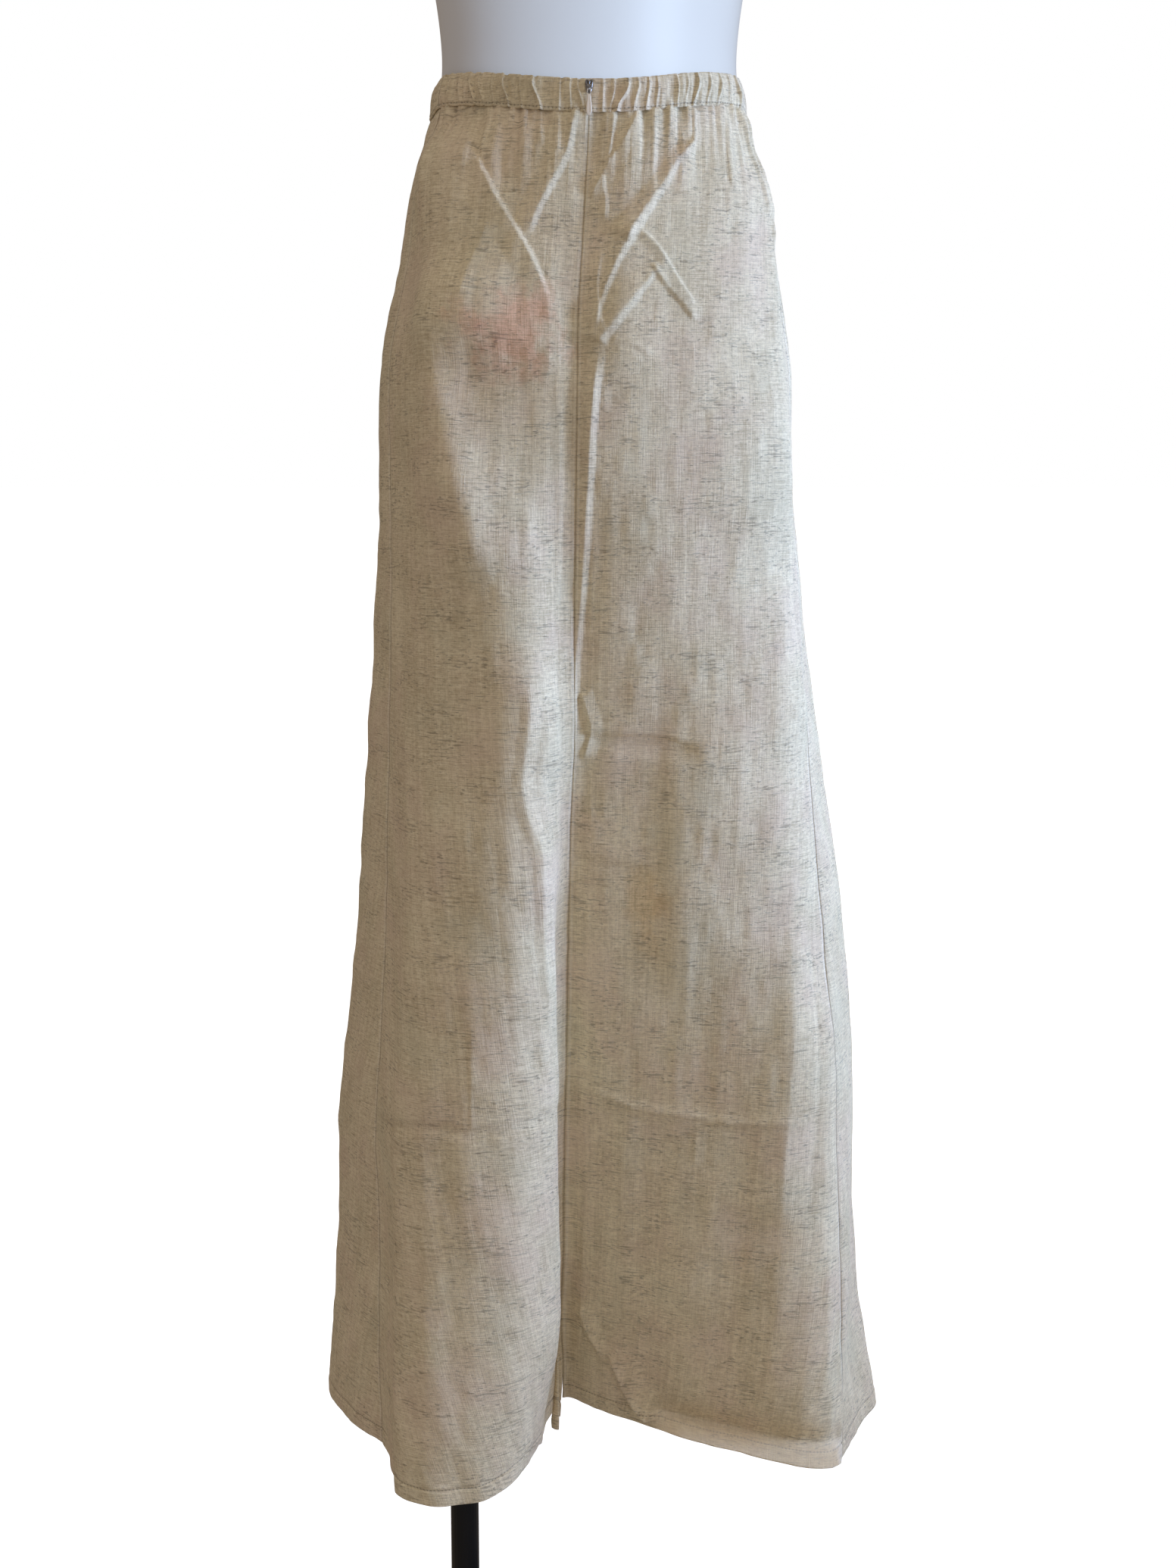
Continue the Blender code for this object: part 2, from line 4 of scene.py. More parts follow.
import bpy
import numpy as np
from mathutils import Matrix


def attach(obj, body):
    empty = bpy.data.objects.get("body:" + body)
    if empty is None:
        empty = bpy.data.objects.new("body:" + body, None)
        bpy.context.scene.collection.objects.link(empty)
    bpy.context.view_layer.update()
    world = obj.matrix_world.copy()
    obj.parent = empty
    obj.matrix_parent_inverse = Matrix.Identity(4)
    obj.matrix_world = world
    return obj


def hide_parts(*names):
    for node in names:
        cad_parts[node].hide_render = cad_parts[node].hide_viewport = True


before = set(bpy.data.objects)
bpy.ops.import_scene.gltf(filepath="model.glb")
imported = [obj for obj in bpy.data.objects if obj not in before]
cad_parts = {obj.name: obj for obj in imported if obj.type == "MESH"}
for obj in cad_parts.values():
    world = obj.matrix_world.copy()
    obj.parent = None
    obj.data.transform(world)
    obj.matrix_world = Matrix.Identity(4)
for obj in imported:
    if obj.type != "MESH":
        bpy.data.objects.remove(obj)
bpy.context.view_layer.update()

BODY = "skirt_on_form"

# ---------------------------------------------------------------------------------------------------
# The studio: the skirt is seen from behind, from a little above its middle, on a plain pale floor.
# A broad window on the right gives cool daylight, a weak lamp hangs overhead, and the room is dim and warm.
# ---------------------------------------------------------------------------------------------------
EYE = (-0.0009, -1.64, 1.1303)
EYE_PITCH_DOWN = 10.0
LENS_MM = 45.74
SENSOR_MM = 36.0
WINDOW_SPREAD = 64
ROOM_LIGHT = 0.332
WARM_WALL = (0.80, 0.64, 0.47, 1.0)
PALE_WALL = (1.20, 1.14, 1.16, 1.0)
TOWARD_PALE_WALL = (0.55, -0.70, 0.45)
FLOOR_HALF = 40

view = bpy.data.cameras.new("view")
view.sensor_width = SENSOR_MM
view.lens = LENS_MM
view_object = bpy.data.objects.new("view", view)
view_object.location = EYE
view_object.rotation_euler = (math.radians(90 - EYE_PITCH_DOWN), 0, 0)
bpy.context.scene.collection.objects.link(view_object)
bpy.context.scene.camera = view_object
bpy.context.scene.view_settings.view_transform = "Standard"


def soft_light(name, place, target, size, power, color):
    """A soft lamp of this size in metres that faces its target."""
    lamp = bpy.data.lights.new(name, "AREA")
    lamp.shape = "RECTANGLE"
    lamp.size, lamp.size_y = size
    lamp.energy = power
    lamp.color = color
    holder = bpy.data.objects.new(name, lamp)
    holder.location = place
    toward = bpy.data.objects.new(name + "_aim", None)
    toward.location = target
    bpy.context.scene.collection.objects.link(holder)
    bpy.context.scene.collection.objects.link(toward)
    bpy.context.view_layer.update()
    holder.rotation_euler = (toward.location - holder.location).to_track_quat("-Z", "Y").to_euler()
    bpy.data.objects.remove(toward)
    return holder


window = soft_light(
    "window",
    place=(2.15, -0.40, 1.12),
    target=(0, 0, 1.05),
    size=(1.2, 0.8),
    power=11.9,
    color=(0.41, 0.59, 1.0),
)
window.data.spread = math.radians(WINDOW_SPREAD)
ceiling = soft_light(
    "ceiling",
    place=(0.3, -1.0, 5.0),
    target=(0, -0.1, 0.8),
    size=(2.5, 2.5),
    power=28,
    color=(1.0, 0.90, 0.72),
)

# the camera sees plain white behind the skirt, and all else is lit by walls that pale towards one side
world = bpy.data.worlds.new("room")
bpy.context.scene.world = world
world.use_nodes = True
room = world.node_tree
room.nodes.clear()
light_path = room.nodes.new("ShaderNodeLightPath")
backdrop = room.nodes.new("ShaderNodeBackground")
backdrop.inputs["Color"].default_value = (1.0, 1.0, 1.0, 1.0)
backdrop.inputs["Strength"].default_value = 1.0
pale_side = room.nodes.new("ShaderNodeVectorMath")
pale_side.operation = "DOT_PRODUCT"
pale_side.inputs[1].default_value = TOWARD_PALE_WALL
room.links.new(room.nodes.new("ShaderNodeTexCoord").outputs["Generated"], pale_side.inputs[0])
across_room = room.nodes.new("ShaderNodeMapRange")
across_room.inputs["From Min"].default_value = -1.0
room.links.new(pale_side.outputs["Value"], across_room.inputs["Value"])
wall_color = room.nodes.new("ShaderNodeMix")
wall_color.data_type = "RGBA"
wall_color.inputs[6].default_value = WARM_WALL
wall_color.inputs[7].default_value = PALE_WALL
room.links.new(across_room.outputs[0], wall_color.inputs[0])
fill = room.nodes.new("ShaderNodeBackground")
fill.inputs["Strength"].default_value = ROOM_LIGHT
room.links.new(wall_color.outputs[2], fill.inputs["Color"])
blend = room.nodes.new("ShaderNodeMixShader")
room_out = room.nodes.new("ShaderNodeOutputWorld")
room.links.new(light_path.outputs["Is Camera Ray"], blend.inputs[0])
room.links.new(fill.outputs[0], blend.inputs[1])
room.links.new(backdrop.outputs[0], blend.inputs[2])
room.links.new(blend.outputs[0], room_out.inputs["Surface"])

# the floor glows enough to stay white under the skirt's shadow
floor_finish = bpy.data.materials.new("pale_floor")
floor_finish.use_nodes = True
paint = floor_finish.node_tree.nodes["Principled BSDF"]
paint.inputs["Base Color"].default_value = (0.85, 0.85, 0.85, 1.0)
paint.inputs["Roughness"].default_value = 0.9
paint.inputs["Emission Color"].default_value = (1.0, 1.0, 1.0, 1.0)
paint.inputs["Emission Strength"].default_value = 0.90
floor_mesh = bpy.data.meshes.new("floor")
floor_corners = [(x * FLOOR_HALF, y * FLOOR_HALF, 0) for x, y in ((-1, -1), (1, -1), (1, 1), (-1, 1))]
floor_mesh.from_pydata(floor_corners, [], [(0, 1, 2, 3)])
floor_mesh.materials.append(floor_finish)
floor = bpy.data.objects.new("floor", floor_mesh)
floor.visible_diffuse = False
floor.visible_glossy = False
bpy.context.scene.collection.objects.link(floor)

# ---------------------------------------------------------------------------------------------------
# The linen: a plain weave of oatmeal yarns, unevenly spun. Thick dark slubs run across it with the weft
# and paler streaks run down it with the warp. It's washed soft, pressed, and marked in two places.
# ---------------------------------------------------------------------------------------------------
LINEN_LIGHT = (0.88, 0.76, 0.53)
LINEN_DEEP = (0.57, 0.46, 0.29)
# the slubs' own brown, which also paints the shade in the seams and along the stitching
SLUB_AND_SHADE_BROWN = (0.19, 0.155, 0.11)
ROSY_PATCH = (0.75, 0.55, 0.43)
OLIVE_PATCH = (0.60, 0.58, 0.40)
# painted highlight for the seams' pressed edges
EDGE_HIGHLIGHT_CREAM = (0.98, 0.93, 0.80)
# painted light for the kicked-out hem
HEM_LIGHT_CREAM = (1.0, 0.88, 0.70)
STITCH_PITCH = 0.0030
HEM_STITCHING = 0.0125

# How strongly each of these shows over the plain weave
SLUBS_SHOW = 0.54
SEAM_SHADE_SHOWS = 0.25
EDGE_HIGHLIGHT_SHOWS = 0.22
STITCHES_AND_SHADE_SHOW = 0.68
HEM_LIGHT_SHOWS = 0.38

# A mark on the cloth: an oval about a flat place, and the tint that it multiplies the cloth by
Mark = namedtuple("Mark", "centre reach tint strength")


class Nodes:
    """A short way to lay out a material's nodes."""

    def __init__(self, name):
        self.material = bpy.data.materials.new(name)
        self.material.use_nodes = True
        self.tree = self.material.node_tree
        self.shader = self.tree.nodes["Principled BSDF"]

    def add(self, kind, inputs=(), **settings):
        node = self.tree.nodes.new(kind)
        for key, value in settings.items():
            setattr(node, key, value)
        for key, value in dict(inputs).items():
            self.feed(node.inputs[key], value)
        return node

    def feed(self, socket, value):
        if isinstance(value, bpy.types.NodeSocket):
            self.tree.links.new(value, socket)
        else:
            socket.default_value = value

    def noise(self, where, scale, detail=2.0, rough=0.5):
        """Noise over a place, stretched by its scale: a larger number is finer."""
        placed = self.add("ShaderNodeMapping", {"Vector": where, "Scale": scale})
        found = self.add(
            "ShaderNodeTexNoise",
            {"Vector": placed.outputs[0], "Scale": 1.0, "Detail": detail, "Roughness": rough},
        )
        return found.outputs["Fac"]

    def spread(self, value, low, high, to_low=0.0, to_high=1.0):
        """Takes low to to_low and high to to_high, with a smooth step between."""
        ranged = self.add(
            "ShaderNodeMapRange",
            {"Value": value, "From Min": low, "From Max": high, "To Min": to_low, "To Max": to_high},
            interpolation_type="SMOOTHSTEP",
        )
        return ranged.outputs[0]

    def math(self, operation, first, *others):
        """One operation run over all the values in turn, or on the first alone."""
        for other in others or (0.0,):
            node = self.add("ShaderNodeMath", operation=operation)
            self.feed(node.inputs[0], first)
            self.feed(node.inputs[1], other)
            first = node.outputs[0]
        return first

    def mix(self, share, a, b, blend_type="MIX"):
        node = self.add("ShaderNodeMix", data_type="RGBA", blend_type=blend_type)
        self.feed(node.inputs[0], share)
        for socket, value in ((node.inputs[6], a), (node.inputs[7], b)):
            self.feed(socket, value if isinstance(value, bpy.types.NodeSocket) else (*value, 1.0))
        return node.outputs[2]

    def spot(self, where, centre, reach, edge_noise):
        """1 inside an oval mark and 0 outside it, with a soft uneven edge."""
        moved = self.add("ShaderNodeVectorMath", {0: where, 1: (*centre, 0.0)}, operation="SUBTRACT")
        shrunk = self.add(
            "ShaderNodeVectorMath",
            {0: moved.outputs[0], 1: (1 / reach[0], 1 / reach[1], 0.0)},
            operation="MULTIPLY",
        )
        far = self.add("ShaderNodeVectorMath", {0: shrunk.outputs[0]}, operation="LENGTH")
        uneven = self.math("ADD", far.outputs["Value"], self.spread(edge_noise, 0.3, 0.7, -0.45, 0.45))
        return self.spread(uneven, 0.35, 1.15, 1.0, 0.0)

    def on_object(self):
        return self.add("ShaderNodeTexCoord").outputs["Object"]

    def bump(self, height, strength, distance):
        raised = self.add("ShaderNodeBump", {"Height": height, "Strength": strength, "Distance": distance})
        self.feed(self.shader.inputs["Normal"], raised.outputs[0])

    def surface(self, values):
        for key, value in values.items():
            self.feed(self.shader.inputs[key], value)


def linen(name, marks=(), stitching=HEM_STITCHING, painted_hem_light=None):
    """The cloth's finish, laid out by its flat places in metres: its yarns, its marks, and its seams.
    A row of stitching runs at one height above the lower edge, with painted shade along it. Painted light
    up a kicked-out hem has a depth and a start."""
    make = Nodes(name)
    where = make.add("ShaderNodeUVMap", uv_map="flat").outputs[0]
    weft = make.noise(where, (60, 1300, 1), 3.0, 0.6)
    warp = make.noise(where, (1250, 40, 1), 3.0, 0.6)
    slub_bed = make.spread(make.noise(where, (22, 60, 1), 2.0), 0.35, 0.7, -0.07, 0.06)
    slub_long = make.noise(where, (62, 620, 1), 1.0)
    slub_short = make.noise(where, (180, 560, 1), 1.0)
    slub_fine = make.noise(where, (330, 900, 1), 1.0)
    streaks = make.noise(where, (230, 6, 1), 3.0, 0.6)
    cloudy = make.noise(where, (26, 20, 1), 4.0, 0.6)
    patch = make.noise(where, (16, 11, 1), 3.0, 0.6)
    heather = make.noise(where, (300, 330, 1), 3.0, 0.7)

    tone = make.math(
        "ADD",
        make.spread(weft, 0.25, 0.75, -0.42, 0.42),
        make.spread(warp, 0.25, 0.75, -0.18, 0.18),
        make.spread(heather, 0.25, 0.75, -0.30, 0.30),
        make.spread(cloudy, 0.2, 0.8, -0.20, 0.20),
        make.spread(streaks, 0.38, 0.68, -0.07, 0.17),
        0.50,
    )
    color = make.mix(tone, LINEN_DEEP, LINEN_LIGHT)
    color = make.mix(make.spread(patch, 0.45, 0.68, 0.0, 0.30), color, ROSY_PATCH)
    color = make.mix(make.spread(patch, 0.30, 0.50, 0.22, 0.0), color, OLIVE_PATCH)
    slubs = make.math(
        "MAXIMUM",
        make.spread(make.math("ADD", slub_long, slub_bed), 0.60, 0.74, 0.0, 0.85),
        make.spread(make.math("ADD", slub_short, slub_bed), 0.60, 0.74, 0.0, 1.0),
        make.spread(slub_fine, 0.59, 0.74, 0.0, 0.60),
    )
    color = make.mix(make.math("MULTIPLY", slubs, SLUBS_SHOW), color, SLUB_AND_SHADE_BROWN)
    for mark in marks:
        inside = make.spot(where, mark.centre, mark.reach, cloudy)
        color = make.mix(make.math("MULTIPLY", inside, mark.strength), color, mark.tint, "MULTIPLY")

    # the sewn lines: painted shade in the fold at each seam with a painted highlight along the pressed edge
    # beside it, and the row of stitches, whose dark dashes sit on a line of painted shade in the
    # stitching's groove
    from_sewn = make.add("ShaderNodeUVMap", uv_map="sewn").outputs[0]
    sewn = make.add("ShaderNodeSeparateXYZ", {"Vector": from_sewn})
    from_seam, above_edge = sewn.outputs["X"], sewn.outputs["Y"]
    across = make.add("ShaderNodeSeparateXYZ", {"Vector": where}).outputs["X"]
    # painted shade: the fold of each seam is darkened with the slubs' brown
    seam = make.spread(from_seam, 0.0002, 0.0007, 1.0, 0.0)
    past_seam = make.spread(from_seam, 0.0008, 0.0014)
    # painted highlight: a pale strip along the pressed edge just past each seam
    wear_and_highlight = make.math("MULTIPLY", past_seam, make.spread(from_seam, 0.0018, 0.0030, 1.0, 0.0))
    # the stitching row: dark dashes for the stitches themselves, on a continuous line of painted shade in
    # the stitching's groove
    from_row = make.math("ABSOLUTE", make.math("SUBTRACT", above_edge, stitching))
    on_row = make.spread(from_row, 0.0003, 0.0008, 1.0, 0.0)
    pitch = make.math("FRACT", make.math("MULTIPLY", across, 1 / STITCH_PITCH))
    stitches_and_shade = make.math("MULTIPLY", on_row, make.spread(pitch, 0.55, 0.80, 0.35, 1.0))
    color = make.mix(make.math("MULTIPLY", seam, SEAM_SHADE_SHOWS), color, SLUB_AND_SHADE_BROWN)
    color = make.mix(make.math("MULTIPLY", wear_and_highlight, EDGE_HIGHLIGHT_SHOWS), color, EDGE_HIGHLIGHT_CREAM)
    color = make.mix(make.math("MULTIPLY", stitches_and_shade, STITCHES_AND_SHADE_SHOW), color, SLUB_AND_SHADE_BROWN)
    # painted light: a pale warm band up the kicked-out hem, as if it caught the light from above
    if painted_hem_light:
        depth, start = painted_hem_light
        lit_hem = make.spread(above_edge, depth - 0.0014, depth + 0.0008, 1.0, 0.0)
        past_start = make.spread(across, start, start + 0.010)
        color = make.mix(make.math("MULTIPLY", lit_hem, past_start, HEM_LIGHT_SHOWS), color, HEM_LIGHT_CREAM)

    yarns = make.math(
        "ADD",
        make.spread(weft, 0.25, 0.75),
        make.spread(warp, 0.25, 0.75),
        make.math("MULTIPLY", slubs, 0.8),
    )
    make.bump(make.math("SUBTRACT", yarns, make.math("ADD", seam, stitches_and_shade)), 0.45, 0.0005)
    make.surface(
        {
            "Base Color": color,
            "Roughness": make.spread(warp, 0.2, 0.8, 0.78, 0.95),
            "Sheen Weight": 0.12,
            "Sheen Roughness": 0.5,
            "Specular IOR Level": 0.25,
        }
    )
    return make.material


# ---------------------------------------------------------------------------------------------------
# The left back panel: an A-line piece of linen that stands out in a deep lobe towards the hem. It's
# gathered into the waistband, joined down the centre back with the zip, and open in a vent at the hem.
# ---------------------------------------------------------------------------------------------------
WAIST_LEVEL = 1.400
SKIRT_DROP = 1.107
BAND_DEPTH = 0.0245
CLOTH_WALL = 0.0009
SEAM_GAP = 0.0003
CENTRE_BACK_DIP = 0.010
SIDE_RISE = 0.002
FRONT_DIP = 0.0035
FRONT_DIP_REACH = 12.0
VENT_HEIGHT = 0.046
VENT_GAP = 0.0036
VENT_SAG = 0.011
VENT_GAP_REACH = 0.012
VENT_GAP_ACROSS = 0.55
VENT_GAP_BACK = 0.85
VENT_SAG_HEIGHT = 0.060
VENT_SAG_REACH = 0.011
VENT_SAG_BACK = 0.8
LEFT_SEAM = 21.5
CENTRE_SEAM = 87.0
RIGHT_SEAM = 166.0
CENTRE_SEAM_AT_WAIST = 90.0
CENTRE_DRIFT_REACH = 45.0
CENTRE_DRIFT_DROP = 0.20

# The cloth's outline at each drop from the waist, and how far it has gone over to the hem's folds
Section = namedtuple("Section", "drop left right back front fall")
SECTIONS = [
    Section(-0.004, 0.1193, 0.1188, 0.0876, 0.0888, 0.00),
    Section(0.012, 0.1238, 0.1226, 0.0892, 0.0902, 0.00),
    Section(0.026, 0.1256, 0.1240, 0.0908, 0.0918, 0.00),
    Section(0.050, 0.1324, 0.1294, 0.0950, 0.0955, 0.00),
    Section(0.085, 0.1420, 0.1380, 0.1025, 0.1010, 0.00),
    Section(0.120, 0.1482, 0.1448, 0.1098, 0.1060, 0.00),
    Section(0.155, 0.1552, 0.1524, 0.1162, 0.1095, 0.00),
    Section(0.191, 0.1634, 0.1580, 0.1215, 0.1120, 0.00),
    Section(0.227, 0.1675, 0.1622, 0.1252, 0.1135, 0.01),
    Section(0.299, 0.1668, 0.1590, 0.1275, 0.1150, 0.07),
    Section(0.373, 0.1655, 0.1613, 0.1275, 0.1160, 0.14),
    Section(0.448, 0.1660, 0.1623, 0.1270, 0.1170, 0.22),
    Section(0.524, 0.1673, 0.1685, 0.1262, 0.1180, 0.29),
    Section(0.601, 0.1690, 0.1763, 0.1250, 0.1190, 0.37),
    Section(0.679, 0.1710, 0.1847, 0.1238, 0.1200, 0.45),
    Section(0.759, 0.1785, 0.1896, 0.1225, 0.1210, 0.53),
    Section(0.840, 0.1938, 0.1867, 0.1215, 0.1220, 0.61),
    Section(0.923, 0.1890, 0.1713, 0.1205, 0.1230, 0.70),
    Section(1.000, 0.1930, 0.1640, 0.1200, 0.1240, 0.80),
    Section(1.049, 0.1990, 0.1690, 0.1200, 0.1240, 0.89),
    Section(1.107, 0.2000, 0.1900, 0.1200, 0.1240, 1.00),
    Section(1.125, 0.2000, 0.1900, 0.1200, 0.1240, 1.00),
]

# The hem's folds: the turn where each starts, and where its foot stands
Fold = namedtuple("Fold", "name turn x y drop")
FOLDS = [
    Fold("left side seam", 21.5, -0.1740, -0.0844, 1.107),
    Fold("side wall", 31.5, -0.1611, -0.1268, 1.111),
    Fold("lobe corner", 38.5, -0.1555, -0.1525, 1.115),
    Fold("lobe front", 45.0, -0.1324, -0.1668, 1.117),
    Fold("lobe crown", 50.5, -0.1083, -0.1665, 1.117),
    Fold("lobe shoulder", 56.0, -0.0850, -0.1630, 1.115),
    Fold("lobe turn", 65.0, -0.0580, -0.1420, 1.107),
    Fold("lobe edge", 71.0, -0.0465, -0.1130, 1.103),
    Fold("flank", 77.0, -0.0395, -0.0790, 1.101),
    Fold("centre seam", 87.0, -0.0225, -0.0215, 1.099),
    Fold("valley side", 97.0, 0.0060, -0.0365, 1.101),
    Fold("right panel, inner", 110.0, 0.0454, -0.0576, 1.104),
    Fold("right panel, middle", 121.0, 0.0756, -0.0780, 1.107),
    Fold("right panel, outer", 137.0, 0.1227, -0.0997, 1.109),
    Fold("corner's near side", 153.0, 0.1730, -0.1208, 1.111),
    Fold("corner", 161.0, 0.2010, -0.1172, 1.113),
    Fold("right side seam", 166.0, 0.2127, -0.0986, 1.113),
    Fold("facet", 174.0, 0.2333, -0.0481, 1.109),
    Fold("right side", 184.0, 0.2515, -0.0112, 1.107),
    Fold("right side, front", 198.0, 0.2420, 0.0450, 1.106),
    Fold("front right crest", 216.0, 0.2020, 0.1080, 1.107),
    Fold("front right hollow", 232.0, 0.1480, 0.1230, 1.105),
    Fold("front inner crest", 251.0, 0.0840, 0.1620, 1.108),
    Fold("front middle hollow", 270.0, 0.0100, 0.1480, 1.106),
    Fold("front left crest", 289.0, -0.0660, 0.1650, 1.108),
    Fold("front left hollow", 306.0, -0.1260, 0.1270, 1.105),
    Fold("front side crest", 324.0, -0.1850, 0.1040, 1.107),
    Fold("left side, front", 342.0, -0.2220, 0.0540, 1.106),
    Fold("left side", 358.0, -0.2295, 0.0056, 1.107),
    Fold("left side, back", 371.0, -0.2008, -0.0519, 1.107),
]


def column(rows, name):
    return np.array([getattr(row, name) for row in rows], float)


def smooth_at(places, values, at):
    """A smooth curve through the values, read at every place asked for."""
    places, values, at = (np.asarray(item, float) for item in (places, values, at))
    last = len(places) - 1
    i = np.clip(np.searchsorted(places, at, side="right") - 1, 0, last - 1)
    span = places[i + 1] - places[i]
    share = (at - places[i]) / span
    before = np.maximum(np.arange(last + 1) - 1, 0)
    after = np.minimum(np.arange(last + 1) + 1, last)
    slope = (values[after] - values[before]) / (places[after] - places[before])
    a, b = share * share * (3 - 2 * share), share * (1 - share)
    bend = b * ((1 - share) * slope[i] - share * slope[i + 1]) * span
    return values[i] + a * (values[i + 1] - values[i]) + bend


def ease(share):
    share = np.clip(share, 0.0, 1.0)
    return share * share * (3 - 2 * share)


def tent(beside, roundness):
    """A ridge with straight flanks: 1 on its line, 0 from 1 to either side of it, and rounded on top."""
    return np.clip(1 + roundness - np.sqrt(beside**2 + roundness**2), 0, 1)


def hump(beside, width):
    """A rounded ridge: 1 on its line, and nearly nothing from twice its width away."""
    return np.exp(-((beside / width) ** 2))


def over_back(turns, fade):
    """1 between the side seams on the back and 0 on the front, eased over a few degrees of turn."""
    return ease((turns - LEFT_SEAM + fade / 2) / fade) * ease((RIGHT_SEAM + fade / 2 - turns) / fade)


def on_body(turn, drop):
    """Where the cloth lies round the form, at a turn from the left and a drop from the waist."""
    left_over = 1 - ease(drop / CENTRE_DRIFT_DROP)
    near_centre = np.maximum(0.0, 1 - np.abs(turn - CENTRE_SEAM) / CENTRE_DRIFT_REACH)
    angle = np.radians(turn + (CENTRE_SEAM_AT_WAIST - CENTRE_SEAM) * left_over * near_centre)
    drops = column(SECTIONS, "drop")
    left, right, back, front = (
        smooth_at(drops, column(SECTIONS, side), drop) for side in ("left", "right", "back", "front")
    )
    half_width = np.where(np.cos(angle) > 0, left, right)
    depth = np.where(np.sin(angle) > 0, back, front)
    return -half_width * np.cos(angle), -depth * np.sin(angle)


def hem_foot(turn):
    """Where the hem stands, and its drop from the waist."""
    turn = FOLDS[0].turn + (turn - FOLDS[0].turn) % 360
    folds = [FOLDS[-1], *FOLDS, FOLDS[0]]
    turns = [FOLDS[-1].turn - 360, *column(FOLDS, "turn"), FOLDS[0].turn + 360]
    return [smooth_at(turns, column(folds, name), turn) for name in ("x", "y", "drop")]


def band_top(turn):
    """The drop of the waistband's top edge, which dips at the middle of the back and the front."""
    turn = LEFT_SEAM + (turn - LEFT_SEAM) % 360
    back = (CENTRE_BACK_DIP + SIDE_RISE) * np.sin(np.radians(turn)) ** 4 - SIDE_RISE
    from_seam = np.minimum(turn - RIGHT_SEAM, LEFT_SEAM + 360 - turn)
    front = (FRONT_DIP + SIDE_RISE) * ease(from_seam / FRONT_DIP_REACH) - SIDE_RISE
    return np.where(turn < RIGHT_SEAM, back, front)


def cloth_points(turn, share):
    """Points of a panel's outer face: share 0 under the waistband, 1 at the hem."""
    foot_x, foot_y, foot_drop = hem_foot(turn)
    top = band_top(turn) + BAND_DEPTH + SEAM_GAP
    drop = top + share * (foot_drop - top)
    body_x, body_y = on_body(turn, drop)
    level = np.minimum(drop * SKIRT_DROP / foot_drop, SKIRT_DROP)
    fall = np.maximum(0.0, smooth_at(column(SECTIONS, "drop"), column(SECTIONS, "fall"), level))
    x = body_x + fall * (foot_x - body_x)
    y = body_y + fall * (foot_y - body_y)
    return np.stack([x, y, WAIST_LEVEL - drop], axis=-1)


# A crease runs along a path of (turn, drop) places. Its line stands out or in by its rise, in
# millimetres, and falls back over one width before the line and another after it, in millimetres:
# before is to the left of a path that runs down, and above one that runs to the left.
Crease = namedtuple("Crease", "rise before after path widen", defaults=[1.0])


def noise_field(across, down, cell, seed):
    """Smooth hills of height about 1, a cell apart each way, in metres."""
    draws = np.random.default_rng(seed)
    u, v = across / cell[0], down / cell[1]
    u, v = u - u.min(), v - v.min()
    hills = draws.standard_normal((int(v.max()) + 3, int(u.max()) + 3))
    i, j = v.astype(int), u.astype(int)
    a, b = ease(v - i), ease(u - j)
    upper = hills[i, j] * (1 - b) + hills[i, j + 1] * b
    lower = hills[i + 1, j] * (1 - b) + hills[i + 1, j + 1] * b
    return upper * (1 - a) + lower * a


def grid_normals(points):
    normals = np.cross(np.gradient(points, axis=0), np.gradient(points, axis=1))
    return normals / np.linalg.norm(normals, axis=-1, keepdims=True)


def beside_line(spots, line, normals):
    """How far each spot lies from a line, how far to the right of it, and its share of the way along."""
    best = np.full(len(spots), np.inf)
    right = np.zeros(len(spots))
    run = np.zeros(len(spots))
    for k in range(len(line) - 1):
        step = line[k + 1] - line[k]
        share = np.clip(((spots - line[k]) @ step) / (step @ step), 0, 1)
        away = spots - line[k] - share[:, None] * step
        far = np.linalg.norm(away, axis=1)
        closer = far < best
        best = np.where(closer, far, best)
        right = np.where(closer, away @ np.cross(normals[k], step), right)
        run = np.where(closer, (k + share) / (len(line) - 1), run)
    return best, right, run


# How many widths a crease reaches, and the share of its length over which its ends fade
CRISP_REACH, ROUND_REACH = 1.2, 2.6
CRISP_FADE, ROUND_FADE, WIDENED_FADE = 0.14, 0.22, 0.06
CREASE_ROUNDNESS = 0.06
PATH_STEP = 0.005


